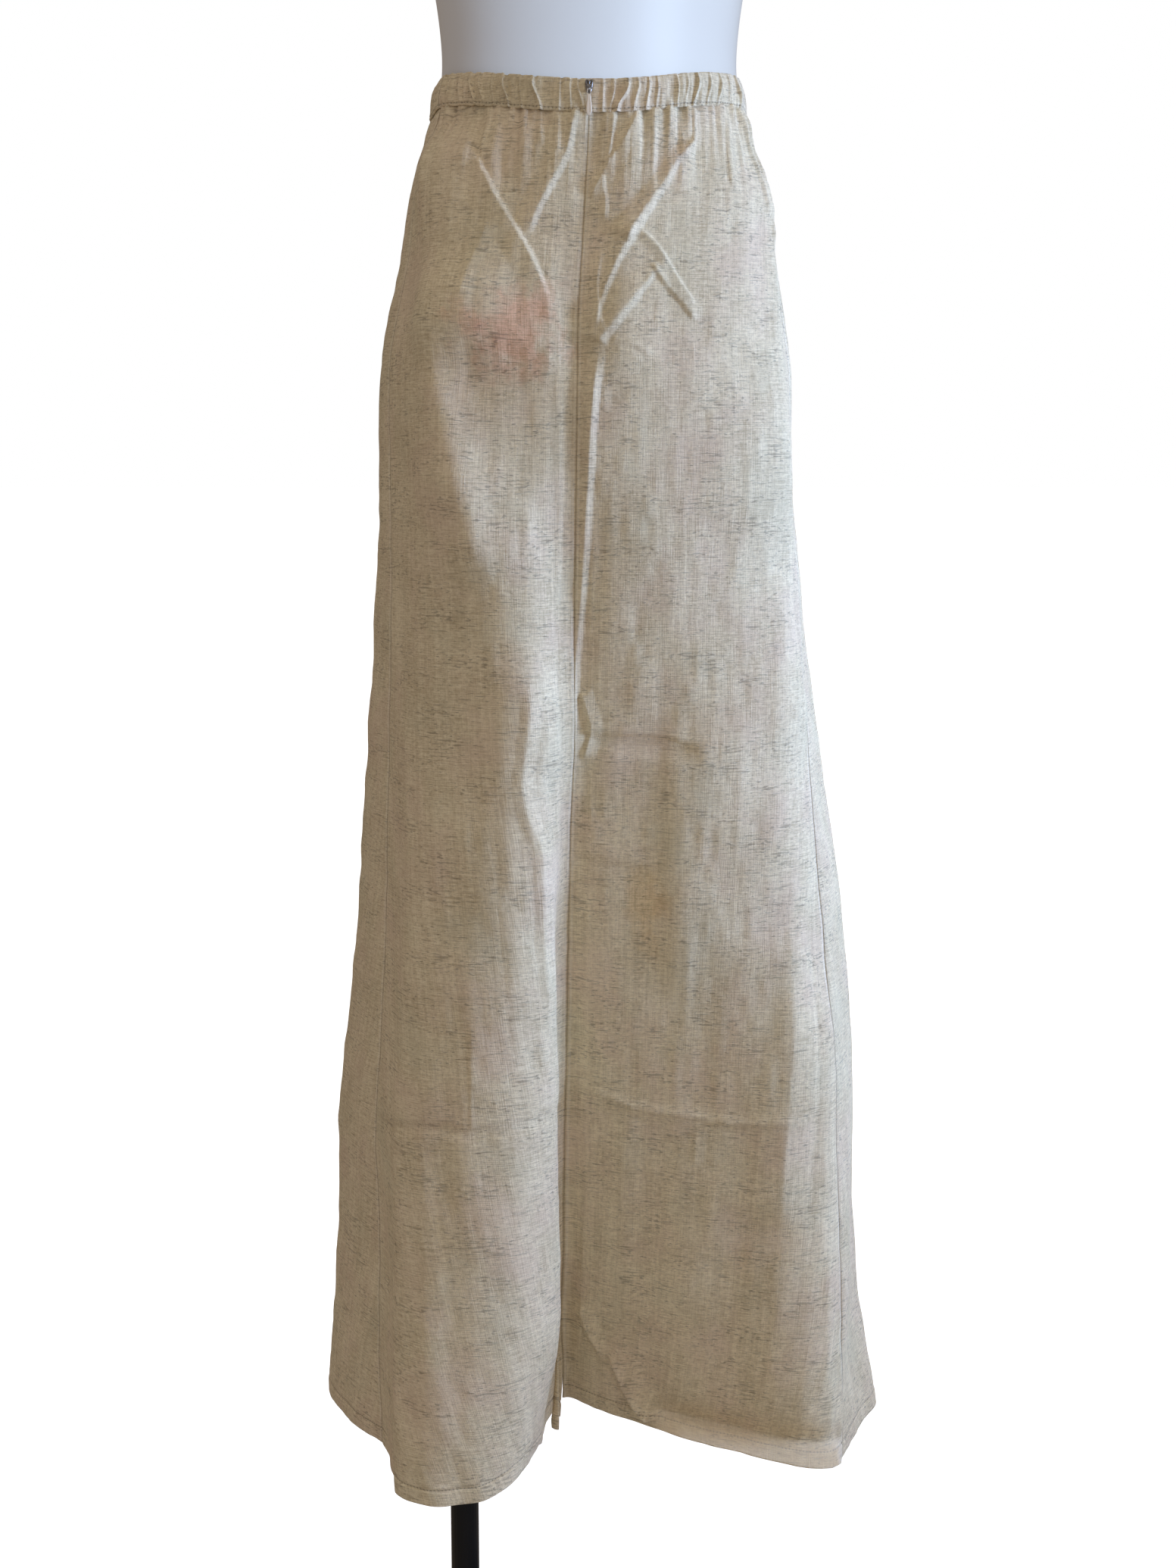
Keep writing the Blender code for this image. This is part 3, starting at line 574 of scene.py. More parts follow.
class Cloth:
    """A tube of cloth: a grid of points, with their places across and down, that is pushed along its
    normals. Its first and last columns are the same line."""

    def __init__(self, point_at, turns, shares):
        self.turns = turns
        turn, share = np.meshgrid(turns, shares)
        self.points = point_at(turn, share)
        self.drops = WAIST_LEVEL - self.points[..., 2]
        steps = np.linalg.norm(np.diff(self.points, axis=1), axis=-1)
        across = np.concatenate([np.zeros((len(shares), 1)), np.cumsum(steps, axis=1)], axis=1)
        middle = np.array([np.interp(CENTRE_SEAM, turns, row) for row in across])
        self.across = across - middle[:, None]
        self.push = np.zeros_like(self.drops)
        self.find_normals()

    def find_normals(self):
        wrapped = np.concatenate([self.points[:, -2:-1], self.points, self.points[:, 1:2]], axis=1)
        self.normals = grid_normals(wrapped)[:, 1:-1]

    def place(self, turn, drop):
        """A point of the cloth and its normal there, given its turn and drop."""
        turn = self.turns[0] + (turn - self.turns[0]) % 360
        along = np.interp(turn, self.turns, np.arange(len(self.turns)))
        along = float(np.clip(along, 0, len(self.turns) - 1.001))
        j = int(along)
        down = float(np.interp(drop, self.drops[:, j], np.arange(len(self.drops))))
        i = int(min(down, len(self.drops) - 2))
        a, b = down - i, along - j
        upper, lower = ((grid[i : i + 2, j : j + 2]) for grid in (self.points, self.normals))
        corner = np.array([[(1 - a) * (1 - b), (1 - a) * b], [a * (1 - b), a * b]])[..., None]
        return (upper * corner).sum(axis=(0, 1)), (lower * corner).sum(axis=(0, 1))

    def press(self, creases, crisp):
        """Adds creases: crisp ones have straight flanks, the others are rounded."""
        fade = CRISP_FADE if crisp else ROUND_FADE
        for crease in creases:
            path = np.array(crease.path, float)
            corners = np.array([self.place(*place)[0] for place in path])
            along = np.concatenate([[0], np.cumsum(np.linalg.norm(np.diff(corners, axis=0), axis=1))])
            fine = np.linspace(0, along[-1], max(6, int(along[-1] / PATH_STEP)))
            places = np.stack([smooth_at(along, path[:, k], fine) for k in (0, 1)], axis=-1)
            placed = [self.place(*place) for place in places]
            line, normals = np.array([point for point, _ in placed]), [normal for _, normal in placed]
            widest = max(crease.before, crease.after)
            reach = (CRISP_REACH if crisp else ROUND_REACH) * widest / 1000 * max(1.0, crease.widen)
            low, high = line.min(axis=0) - reach, line.max(axis=0) + reach
            near = ((self.points > low) & (self.points < high)).all(axis=-1)
            far, right, run = beside_line(self.points[near], line, normals)
            grown = 1 + (crease.widen - 1) * run
            width = np.where(right < 0, crease.before, crease.after) / 1000 * grown
            height = tent(far / width, CREASE_ROUNDNESS) if crisp else hump(far, width)
            end_fade = WIDENED_FADE if crisp and crease.widen > 1 else fade
            ends = ease(run / fade) * ease((1 - run) / end_fade)
            self.push[near] += crease.rise / 1000 * grown * height * ends

    def around(self, field):
        """The same field, eased over its last columns so that it meets itself where the tube closes."""
        share = ease((np.arange(len(self.turns)) / (len(self.turns) - 1) - 0.8) / 0.2)
        return field + share[None, :] * (field[:, :1] - field[:, -1:])

    def settle(self):
        self.points = self.points + self.push[..., None] * self.normals
        self.push = np.zeros_like(self.push)
        self.find_normals()

    def panel(self, first, last, middle_turn, row_step=1):
        """One piece of the tube between two seams, with its places across measured from one turn."""
        columns = np.flatnonzero((self.turns > first - 1e-6) & (self.turns < last + 1e-6))
        picked = np.ix_(np.arange(0, len(self.drops), row_step), columns)
        across = self.across[picked]
        middle, *edges = (
            np.array([np.interp(turn, self.turns[columns], row) for row in across])[:, None]
            for turn in (middle_turn, first, last)
        )
        from_seam = np.min([np.abs(across - edge) for edge in edges], axis=0)
        points, normals, drops = self.points[picked], self.normals[picked], self.drops[picked]
        return Panel(points, normals, across - middle, drops, from_seam)


# A piece of cloth, or any other thin plate, as grids of its points and of their places
Panel = namedtuple("Panel", "points normals across drops from_seam")


def smooth_piece(name, points, faces, finish, body):
    """A piece in one finish, shaded smooth, that rides on a body."""
    mesh = bpy.data.meshes.new(name)
    mesh.from_pydata(points.tolist(), [], faces)
    mesh.materials.append(finish)
    mesh.shade_smooth()
    piece = bpy.data.objects.new(name, mesh)
    bpy.context.scene.collection.objects.link(piece)
    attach(piece, body)
    return piece


# The inner face of a thin piece keeps one point in this many, each way
INNER_STEP = 4


def shell_mesh(name, panel, wall, finish, body=BODY):
    """A thin closed piece: a fine outer face, and an inner one that keeps one point in every few."""
    rows, columns = panel.drops.shape
    outer_ids = np.arange(rows * columns).reshape(rows, columns)
    inner_rows, inner_columns = np.arange(0, rows, INNER_STEP), np.arange(0, columns, INNER_STEP)
    assert inner_rows[-1] == rows - 1 and inner_columns[-1] == columns - 1
    picked = np.ix_(inner_rows, inner_columns)
    inner = (panel.points - wall * panel.normals)[picked]
    inner_ids = rows * columns + np.arange(inner.shape[0] * inner.shape[1]).reshape(inner.shape[:2])
    faces = quads(outer_ids) + [face[::-1] for face in quads(inner_ids)]
    for outer_edge, inner_edge in (
        (outer_ids[0], inner_ids[0]),
        (outer_ids[-1][::-1], inner_ids[-1][::-1]),
        (outer_ids[:, 0][::-1], inner_ids[:, 0][::-1]),
        (outer_ids[:, -1], inner_ids[:, -1]),
    ):
        for k in range(len(inner_edge) - 1):
            strip = outer_edge[k * INNER_STEP : (k + 1) * INNER_STEP + 1].tolist()
            faces.append(strip + [int(inner_edge[k + 1]), int(inner_edge[k])])
    points = np.concatenate([panel.points.reshape(-1, 3), inner.reshape(-1, 3)])
    piece = smooth_piece(name, points, faces, finish, body)
    corners = np.empty(len(piece.data.loops), int)
    piece.data.loops.foreach_get("vertex_index", corners)
    above_edge = panel.drops[-1:] - panel.drops
    for title, places in (
        ("flat", np.stack([panel.across, panel.drops], axis=-1)),
        ("sewn", np.stack([panel.from_seam, above_edge], axis=-1)),
    ):
        places = np.concatenate([places.reshape(-1, 2), places[picked].reshape(-1, 2)])
        piece.data.uv_layers.new(name=title).data.foreach_set("uv", places[corners].ravel())
    return piece


def quads(ids):
    """The four-sided faces between the points of a grid."""
    corners = np.stack([ids[:-1, :-1], ids[1:, :-1], ids[1:, 1:], ids[:-1, 1:]], axis=-1)
    return corners.reshape(-1, 4).tolist()


def panel_shares(rows):
    """Rows down a panel: close together near the waist, wider apart lower down, and closest at the hem."""
    at = np.arange(rows) / rows
    steps = 1.0 + 0.85 * ease((at - 0.42) / 0.25) - 1.42 * ease((at - 0.945) / 0.015)
    shares = np.concatenate([[0], np.cumsum(steps)])
    return shares / shares[-1]


CLOTH_ROWS = 496
TUCKED = 0.0020
GATHER_RISE = 0.0015
GATHER_LENGTH = 0.052
SIDE_FADE = 8.0
SLACK_RISE = 0.0006
PUCKER_RISE = 0.00022
SEAM_SINK = 0.0005
SEAM_WIDTH = 1.1
STITCHING_SINK = 0.0008
STITCHING_WIDTH = 1.2
HEM_RISE = 0.0004
HEM_RISE_FADE = 0.002
BAND_SINK = 0.0011
BAND_SINK_LENGTH = 0.0032

# The broad swells that the drape adds between the waist and the hem's folds
SWELLS = [
    Crease(15.5, 30, 55, [
        (33.0, 0.030), (39.0, 0.083), (43.4, 0.116), (47.0, 0.151), (49.6, 0.184), (51.0, 0.232),
    ]),
    Crease(12.5, 26, 64, [
        (46.8, 0.130), (49.1, 0.160), (50.8, 0.200), (51.5, 0.250), (51.5, 0.300), (51.0, 0.350),
    ]),
    Crease(-3.2, 45, 30, [
        (84.0, 0.035), (84.4, 0.083), (85.0, 0.150), (85.8, 0.240), (85.9, 0.330), (86.0, 0.460),
    ]),
    Crease(8.0, 45, 20, [
        (45.0, 0.170), (48.2, 0.222), (51.8, 0.258), (55.0, 0.300), (58.3, 0.345), (61.0, 0.390),
    ]),
    Crease(6.0, 36, 20, [(46.0, 0.200), (51.8, 0.263), (58.3, 0.354), (61.0, 0.400)]),
    Crease(9.0, 50, 46, [
        (55.0, 0.280), (58.3, 0.345), (61.9, 0.400), (66.0, 0.446), (70.0, 0.494), (72.0, 0.542),
        (73.0, 0.600), (73.5, 0.680),
    ]),
    Crease(5.0, 34, 15, [(71.5, 0.290), (73.5, 0.350), (75.0, 0.420), (75.8, 0.490), (76.0, 0.560)]),
    Crease(10.0, 60, 13, [
        (73.6, 0.500), (74.5, 0.560), (74.9, 0.620), (75.1, 0.703), (75.5, 0.799), (75.2, 0.898),
        (74.7, 0.998), (74.0, 1.110),
    ]),
    Crease(6.0, 66, 14, [(75.1, 0.600), (75.5, 0.799), (75.2, 0.898), (74.7, 0.998), (74.0, 1.150)]),
    Crease(6.0, 46, 14, [(74.6, 0.740), (74.8, 0.860), (74.6, 0.960), (74.2, 1.060), (74.0, 1.180)]),
    Crease(10.0, 60, 18, [
        (161.9, -0.020), (159.9, 0.040), (156.0, 0.100), (151.2, 0.170), (148.2, 0.240), (151.1, 0.309),
        (151.8, 0.380),
    ]),
    Crease(8.5, 58, 30, [
        (150.0, 0.180), (151.0, 0.300), (151.0, 0.400), (151.0, 0.500), (149.0, 0.580), (148.0, 0.680),
    ]),
    Crease(3.0, 60, 40, [(143.0, 0.400), (142.4, 0.463), (143.3, 0.553), (142.9, 0.645), (143.3, 0.700)]),
    Crease(-7.0, 62, 14, [(161.6, 0.480), (161.8, 0.540), (162.0, 0.600), (162.2, 0.680), (162.4, 0.760)]),
    Crease(4.0, 14, 62, [(117.0, 0.470), (116.0, 0.540), (115.0, 0.620), (114.0, 0.720)]),
    Crease(2.0, 20, 14, [(49.0, 0.900), (47.5, 0.990), (49.0, 1.050), (49.3, 1.100)]),
    Crease(4.0, 50, 40, [(232.0, 0.080), (236.0, 0.250), (240.0, 0.450), (247.0, 0.700)]),
    Crease(-3.5, 45, 45, [(268.0, 0.120), (269.0, 0.300), (270.0, 0.600), (271.0, 0.850)]),
    Crease(4.0, 45, 50, [(306.0, 0.070), (301.0, 0.220), (296.0, 0.430), (291.0, 0.700)]),
    Crease(-3.0, 35, 45, [(340.0, 0.260), (338.0, 0.420), (336.0, 0.640)]),
    Crease(-3.0, 45, 35, [(196.0, 0.260), (199.0, 0.420), (203.0, 0.640)]),
    Crease(3.5, 30, 45, [(212.0, 0.420), (214.0, 0.620), (216.0, 0.860)]),
    Crease(3.0, 40, 35, [(326.0, 0.440), (325.0, 0.640), (324.0, 0.880)]),
]

# Lines pressed into the two back panels by packing and wear
BACK_CREASES = [
    Crease(3.2, 16.0, 3.3, [
        (49.3, 0.055), (50.1, 0.058), (56.3, 0.078), (62.8, 0.102), (68.3, 0.122), (73.3, 0.142),
        (76.4, 0.158), (78.6, 0.172), (79.4, 0.179),
    ]),
    Crease(3.0, 13.0, 3.6, [
        (82.4, 0.030), (81.6, 0.052), (80.0, 0.069), (76.8, 0.087), (74.2, 0.102), (72.4, 0.116),
        (71.0, 0.126),
    ]),
    Crease(-4.0, 20.0, 30.0, [
        (84.6, 0.018), (85.3, 0.045), (86.1, 0.083), (86.5, 0.128), (86.9, 0.172), (86.9, 0.214),
        (87.0, 0.240),
    ]),
    Crease(-2.8, 12.0, 12.0, [
        (86.2, 0.160), (86.6, 0.214), (86.9, 0.263), (87.0, 0.314), (87.0, 0.366), (87.0, 0.418),
        (87.0, 0.454), (87.0, 0.500),
    ]),
    Crease(1.9, 1.5, 9.0, [
        (105.4, 0.031), (104.3, 0.036), (98.7, 0.056), (93.6, 0.073), (89.7, 0.090), (88.4, 0.098),
    ]),
    Crease(1.9, 9.0, 1.6, [(97.6, 0.028), (96.9, 0.036), (95.7, 0.049), (94.8, 0.061), (93.8, 0.074)]),
    Crease(1.6, 12.0, 2.6, [(92.5, 0.078), (92.7, 0.087), (93.7, 0.099), (93.5, 0.114)]),
    Crease(1.5, 4.0, 2.0, [
        (129.4, 0.046), (126.0, 0.055), (122.7, 0.059), (119.1, 0.067), (112.7, 0.086), (105.9, 0.106),
        (101.3, 0.123), (99.6, 0.130),
    ], 3.4),
    Crease(2.8, 14.0, 4.2, [
        (103.4, 0.112), (100.6, 0.128), (97.6, 0.142), (94.6, 0.160), (92.9, 0.174), (91.8, 0.186),
        (91.2, 0.196),
    ], 0.7),
    Crease(1.1, 7.0, 2.2, [
        (93.4, 0.132), (92.8, 0.139), (91.9, 0.153), (91.9, 0.166), (92.5, 0.181), (94.4, 0.196),
    ]),
    Crease(1.2, 8.0, 2.1, [
        (110.2, 0.146), (107.6, 0.154), (101.6, 0.172), (96.2, 0.189), (93.4, 0.198), (92.2, 0.205),
    ], 3.2),
    Crease(4.2, 18.0, 5.4, [
        (93.6, 0.196), (92.4, 0.213), (90.7, 0.258), (89.9, 0.317), (89.1, 0.369), (88.0, 0.419),
        (87.3, 0.445), (86.9, 0.480), (86.8, 0.520),
    ], 0.75),
    Crease(-5.0, 17.0, 13.0, [
        (87.0, 0.505), (87.0, 0.560), (87.0, 0.620), (87.0, 0.720), (87.0, 0.850), (87.0, 0.980),
        (87.0, 1.085),
    ]),
    Crease(4.2, 32.0, 40.0, [
        (69.5, 0.420), (71.6, 0.467), (71.4, 0.485), (69.6, 0.517), (68.8, 0.534), (69.6, 0.562),
        (72.2, 0.584), (72.2, 0.610), (72.6, 0.672), (73.0, 0.740), (73.2, 0.820),
    ]),
    Crease(1.5, 7.0, 9.0, [
        (71.0, 0.445), (71.6, 0.467), (71.4, 0.485), (69.6, 0.517), (68.8, 0.534), (69.6, 0.562),
        (72.2, 0.584), (72.2, 0.610), (72.6, 0.672), (73.0, 0.740),
    ]),
    Crease(1.8, 7.0, 2.2, [
        (104.0, 0.117), (105.8, 0.123), (109.3, 0.131), (113.1, 0.146), (116.7, 0.162), (118.7, 0.170),
        (120.0, 0.177),
    ]),
    Crease(1.9, 2.6, 10.0, [
        (107.5, 0.143), (108.6, 0.148), (111.0, 0.158), (114.7, 0.169), (118.5, 0.181), (120.4, 0.188),
    ]),
    Crease(2.4, 2.4, 7.0, [
        (129.4, 0.022), (129.0, 0.031), (127.2, 0.052), (125.2, 0.056), (121.8, 0.064), (120.8, 0.069),
    ]),
    Crease(1.8, 2.4, 7.0, [(146.8, 0.028), (146.2, 0.035), (141.7, 0.059), (139.5, 0.076), (139.0, 0.092)]),
    Crease(2.6, 3.0, 8.0, [
        (159.8, 0.016), (159.6, 0.024), (159.0, 0.040), (157.1, 0.060), (156.4, 0.085), (156.4, 0.112),
    ]),
    Crease(2.8, 2.4, 9.0, [(88.6, 0.466), (90.4, 0.480), (92.0, 0.497), (91.2, 0.510), (89.6, 0.524)]),
    Crease(-4.2, 4.2, 15.0, [(122.0, 0.511), (118.5, 0.511), (109.7, 0.507), (99.0, 0.505), (89.4, 0.503)]),
    Crease(-2.0, 4.0, 12.0, [(112.0, 0.612), (108.7, 0.612), (96.4, 0.607), (88.8, 0.600)]),
    Crease(3.2, 8.0, 3.4, [
        (156.0, 0.821), (150.2, 0.821), (133.3, 0.822), (118.0, 0.819), (105.4, 0.815), (97.4, 0.808),
        (88.3, 0.800),
    ]),
    Crease(-2.7, 3.2, 9.0, [
        (78.0, 0.800), (74.0, 0.803), (55.8, 0.812), (45.8, 0.809), (26.9, 0.823), (20.0, 0.826),
    ]),
    Crease(0.9, 3.0, 14.0, [(55.6, 0.724), (55.8, 0.769), (56.2, 0.816)]),
    Crease(0.7, 2.5, 12.0, [(46.5, 0.400), (46.3, 0.425), (46.0, 0.518), (46.4, 0.595), (46.4, 0.640)]),
    Crease(1.2, 6.0, 2.2, [(109.4, 0.984), (109.8, 0.991), (112.3, 1.017), (112.8, 1.024)]),
    Crease(5.0, 3.0, 12.0, [(91.9, 1.000), (93.8, 1.022), (97.2, 1.042), (99.0, 1.052)]),
    Crease(9.5, 3.4, 20.0, [
        (99.5, 1.044), (101.4, 1.048), (103.4, 1.058), (105.0, 1.070), (106.2, 1.078), (109.4, 1.090),
        (113.8, 1.103),
    ]),
    Crease(2.8, 2.0, 7.0, [
        (163.4, 0.014), (162.6, 0.026), (161.4, 0.044), (160.0, 0.066), (158.6, 0.092), (157.4, 0.116),
        (156.4, 0.134),
    ]),
    Crease(0.7, 2.4, 5.0, [(95.5, 0.201), (98.6, 0.202), (101.3, 0.204), (106.9, 0.213)]),
    Crease(0.5, 2.4, 5.0, [(96.6, 0.209), (100.0, 0.211), (104.4, 0.217)]),
    Crease(-0.9, 2.2, 3.0, [(81.8, 0.200), (84.0, 0.201), (86.6, 0.204)]),
    Crease(1.4, 6.0, 9.0, [(60.4, 0.112), (59.0, 0.128), (57.4, 0.146), (57.2, 0.160), (57.4, 0.176)]),
    Crease(7.0, 60.0, 22.0, [
        (150.2, 0.650), (149.8, 0.730), (149.4, 0.800), (148.8, 0.860), (148.4, 0.920),
    ]),
    Crease(1.2, 14.0, 20.0, [(149.8, 0.880), (149.0, 0.950), (147.2, 1.000), (146.0, 1.060)]),
    Crease(0.9, 5.0, 8.0, [(161.4, 0.940), (161.2, 0.990), (160.8, 1.050)]),
    Crease(2.0, 11.0, 2.0, [(168.6, 0.950), (167.2, 1.000), (165.9, 1.055), (165.0, 1.098)]),
    Crease(1.0, 5.0, 2.0, [(61.0, 0.026), (61.2, 0.035), (61.8, 0.056), (62.0, 0.064)]),
    Crease(1.0, 4.0, 2.0, [(71.6, 0.026), (71.8, 0.036), (72.8, 0.051), (73.2, 0.060)]),
    Crease(1.0, 4.0, 2.0, [(77.8, 0.026), (77.9, 0.036), (78.2, 0.058), (78.4, 0.066)]),
    Crease(0.9, 4.0, 2.0, [(53.6, 0.024), (53.7, 0.033), (54.0, 0.056), (54.2, 0.064)]),
]

# The same packing lines and pulls where they go on round the sides and the front
FRONT_CREASES = [
    Crease(-2.2, 4.0, 14.0, [(214.0, 0.498), (204.0, 0.503), (192.0, 0.507), (181.0, 0.505)]),
    Crease(2.4, 7.0, 3.6, [(262.0, 0.803), (246.0, 0.811), (225.0, 0.815), (204.0, 0.821), (192.0, 0.819)]),
    Crease(-2.2, 4.0, 12.0, [(344.0, 0.500), (322.0, 0.507), (300.0, 0.503), (284.0, 0.508)]),
    Crease(-2.2, 3.4, 9.0, [
        (352.0, 0.815), (334.0, 0.820), (312.0, 0.812), (290.0, 0.818), (274.0, 0.809),
    ]),
    Crease(1.0, 4.0, 4.0, [(269.5, 0.180), (270.0, 0.330), (269.6, 0.520), (270.2, 0.700), (270.0, 0.960)]),
    Crease(1.9, 10.0, 3.2, [(236.0, 0.044), (243.0, 0.066), (250.0, 0.092), (255.0, 0.118)]),
    Crease(1.7, 3.2, 11.0, [(302.0, 0.040), (296.0, 0.060), (290.0, 0.083), (286.0, 0.112)]),
    Crease(1.4, 7.0, 2.8, [(217.0, 0.050), (215.0, 0.074), (211.0, 0.104)]),
    Crease(1.3, 3.0, 9.0, [(331.0, 0.046), (334.0, 0.072), (336.0, 0.104)]),
    Crease(1.6, 9.0, 3.0, [(296.0, 0.240), (304.0, 0.275), (311.0, 0.296)]),
    Crease(1.3, 6.0, 2.6, [(226.0, 0.260), (220.0, 0.290), (212.0, 0.311)]),
    Crease(1.0, 3.0, 13.0, [(205.0, 0.860), (204.0, 0.930), (205.0, 0.990)]),
    Crease(0.9, 12.0, 3.0, [(338.0, 0.560), (339.0, 0.640), (338.0, 0.730)]),
    Crease(-2.0, 4.0, 9.0, [(250.0, 1.086), (238.0, 1.083), (224.0, 1.086)]),
    Crease(1.4, 8.0, 2.6, [(305.0, 1.030), (309.0, 1.062), (313.0, 1.096)]),
]

# The columns of the cloth's grid, from the left seam round to itself. They're closest on both sides
# of the centre seam.
Stretch = namedtuple("Stretch", "last columns")
CLOTH_STRETCHES = [
    Stretch(47.0, 40),
    Stretch(CENTRE_SEAM, 136),
    Stretch(132.0, 136),
    Stretch(RIGHT_SEAM, 48),
    Stretch(LEFT_SEAM + 360, 232),
]


def column_turns(stretches):
    """The turn of each column, evenly spaced within each stretch."""
    found = [np.array([LEFT_SEAM])]
    for stretch in stretches:
        found.append(np.linspace(found[-1][-1], stretch.last, stretch.columns + 1)[1:])
    return np.concatenate(found)


turns = column_turns(CLOTH_STRETCHES)
shares = panel_shares(CLOTH_ROWS) * (1 + TUCKED) - TUCKED
skirt = Cloth(cloth_points, turns, shares)
skirt.press(SWELLS, crisp=False)
skirt.settle()
skirt.press(BACK_CREASES + FRONT_CREASES, crisp=True)

# the elastic's gathers fade out below the band, all round the back and not in front
below = skirt.drops - skirt.drops[:1]
gathers = noise_field(skirt.across, skirt.drops, (0.0075, 0.060), 5)
gathers = gathers + 0.6 * noise_field(skirt.across, skirt.drops, (0.004, 0.045), 6)
gathered = hump(below, GATHER_LENGTH) * over_back(skirt.turns, SIDE_FADE)[None, :]
skirt.push += GATHER_RISE * gathers * gathered
skirt.push += SLACK_RISE * skirt.around(noise_field(skirt.across, skirt.drops, (0.019, 0.055), 11))
skirt.push += PUCKER_RISE * skirt.around(noise_field(skirt.across, skirt.drops, (0.007, 0.016), 12))

# seams pull the cloth in a little, and so do the hem's stitching and the waistband
for seam in (LEFT_SEAM, CENTRE_SEAM, RIGHT_SEAM, LEFT_SEAM + 360):
    seam_at = np.array([np.interp(seam, skirt.turns, row) for row in skirt.across])
    skirt.push -= SEAM_SINK * hump((skirt.across - seam_at[:, None]) * 1000, SEAM_WIDTH)
above_hem = skirt.drops[-1:] - skirt.drops
skirt.push -= STITCHING_SINK * hump((above_hem - HEM_STITCHING) * 1000, STITCHING_WIDTH)
skirt.push += HEM_RISE * ease((HEM_STITCHING - above_hem) / HEM_RISE_FADE)
skirt.push -= BAND_SINK * hump(below, BAND_SINK_LENGTH)
skirt.settle()

# the right side is pressed to a corner, which stands out by so many millimetres at each drop
Corner = namedtuple("Corner", "drop turn out")
CORNER_START, CORNER_END = 153.0, 12.0
RIGHT_CORNER = [
    Corner(0.640, 174.5, 0.0),
    Corner(0.720, 174.0, 1.5),
    Corner(0.803, 172.0, 4.5),
    Corner(0.885, 170.0, 9.5),
    Corner(0.965, 168.0, 12.0),
    Corner(1.050, 166.0, 3.0),
    Corner(1.113, 164.8, -1.5),
]
corner_drops = column(RIGHT_CORNER, "drop")
held_drop = np.clip(skirt.drops, corner_drops[0], corner_drops[-1])
crest = smooth_at(corner_drops, column(RIGHT_CORNER, "turn"), held_drop)
out = smooth_at(corner_drops, column(RIGHT_CORNER, "out"), held_drop) / 1000
before_crest = (skirt.turns - CORNER_START) / (crest - CORNER_START)
after_crest = ease((crest + CORNER_END - skirt.turns) / CORNER_END)
skirt.points[..., 0] += out * np.clip(np.where(skirt.turns < crest, before_crest, after_crest), 0, 1)
skirt.find_normals()

# the lower hem on the right is kicked out under its stitching
KICK_DEPTH = 0.0190
KICK_OUT = 0.0180
KICK_UP = 0.0125
KICK_DRAWN = 0.0100
KICK_DRAWN_HEIGHT = 0.013
KICK_START, KICK_START_FADE = 108, 14
KICK_END, KICK_END_FADE = 166.5, 4
kicked = ease((skirt.turns - KICK_START) / KICK_START_FADE) * ease((KICK_END - skirt.turns) / KICK_END_FADE)
kick = np.clip((KICK_DEPTH - above_hem) / KICK_DEPTH, 0, 1) * kicked[None, :]
drawn_in = hump(np.maximum(above_hem - KICK_DEPTH, 0), KICK_DRAWN_HEIGHT) * kicked[None, :] * (1 - kick)
skirt.points[..., 1] += KICK_DRAWN * drawn_in
skirt.points[..., 1] -= KICK_OUT * kick
skirt.points[..., 2] += KICK_UP * kick**1.5
skirt.find_normals()

# the vent's edge draws back from the seam, and its corner sags
left_back = skirt.panel(LEFT_SEAM, CENTRE_SEAM, CENTRE_SEAM)
above_corner = left_back.drops[-1:] - left_back.drops
draw_back = VENT_GAP * (1 - ease(above_corner / VENT_HEIGHT)) * hump(left_back.across, VENT_GAP_REACH)
left_back.points[..., 0] -= draw_back * VENT_GAP_ACROSS
left_back.points[..., 1] -= draw_back * VENT_GAP_BACK
sag = VENT_SAG * ease(1 - above_corner / VENT_SAG_HEIGHT) * hump(left_back.across, VENT_SAG_REACH)
left_back.points[..., 2] -= sag
left_back.points[..., 1] -= sag * VENT_SAG_BACK
pink_stain = Mark((-0.047, 0.192), (0.041, 0.033), (1.0, 0.76, 0.71), 1.0)
piece = shell_mesh("left_back_cloth", left_back, CLOTH_WALL, linen("linen_left_back", [pink_stain]))
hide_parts("back_panel_left")

# the vent's facing turns out of the gap as a narrow strip, and its corner hangs below the hem
STRIP_ROWS, STRIP_COLUMNS = 33, 9
STRIP_CURL = 0.0045
STRIP_LIP = 0.0008
STRIP_FROM_SEAM = 0.004
Strip = namedtuple("Strip", "drop left right out")
VENT_STRIP = [
    Strip(1.034, -0.0285, -0.0268, -0.0410),
    Strip(1.048, -0.0292, -0.0263, -0.0430),
    Strip(1.066, -0.0300, -0.0261, -0.0450),
    Strip(1.084, -0.0306, -0.0259, -0.0470),
    Strip(1.096, -0.0312, -0.0257, -0.0490),
    Strip(1.106, -0.0326, -0.0256, -0.0510),
    Strip(1.113, -0.0322, -0.0258, -0.0520),
]
strip_drops = np.linspace(VENT_STRIP[0].drop, VENT_STRIP[-1].drop, STRIP_ROWS)
left_edge, right_edge, strip_out = (
    smooth_at(column(VENT_STRIP, "drop"), column(VENT_STRIP, name), strip_drops)[:, None]
    for name in ("left", "right", "out")
)
over_strip = np.linspace(0, 1, STRIP_COLUMNS)[None, :]
strip_x = left_edge + over_strip * (right_edge - left_edge)
strip_y = strip_out + STRIP_CURL * (1 - over_strip) ** 2 + STRIP_LIP * over_strip**4
strip_down = strip_drops[:, None] + 0 * over_strip
strip_points = np.stack([strip_x, strip_y, WAIST_LEVEL - strip_down], axis=-1)
from_seam = STRIP_FROM_SEAM + 0 * strip_x
strip_panel = Panel(strip_points, grid_normals(strip_points), strip_x, strip_down, from_seam)
vent_facing = shell_mesh("vent_facing", strip_panel, CLOTH_WALL, linen("linen_vent_facing", stitching=-1.0))

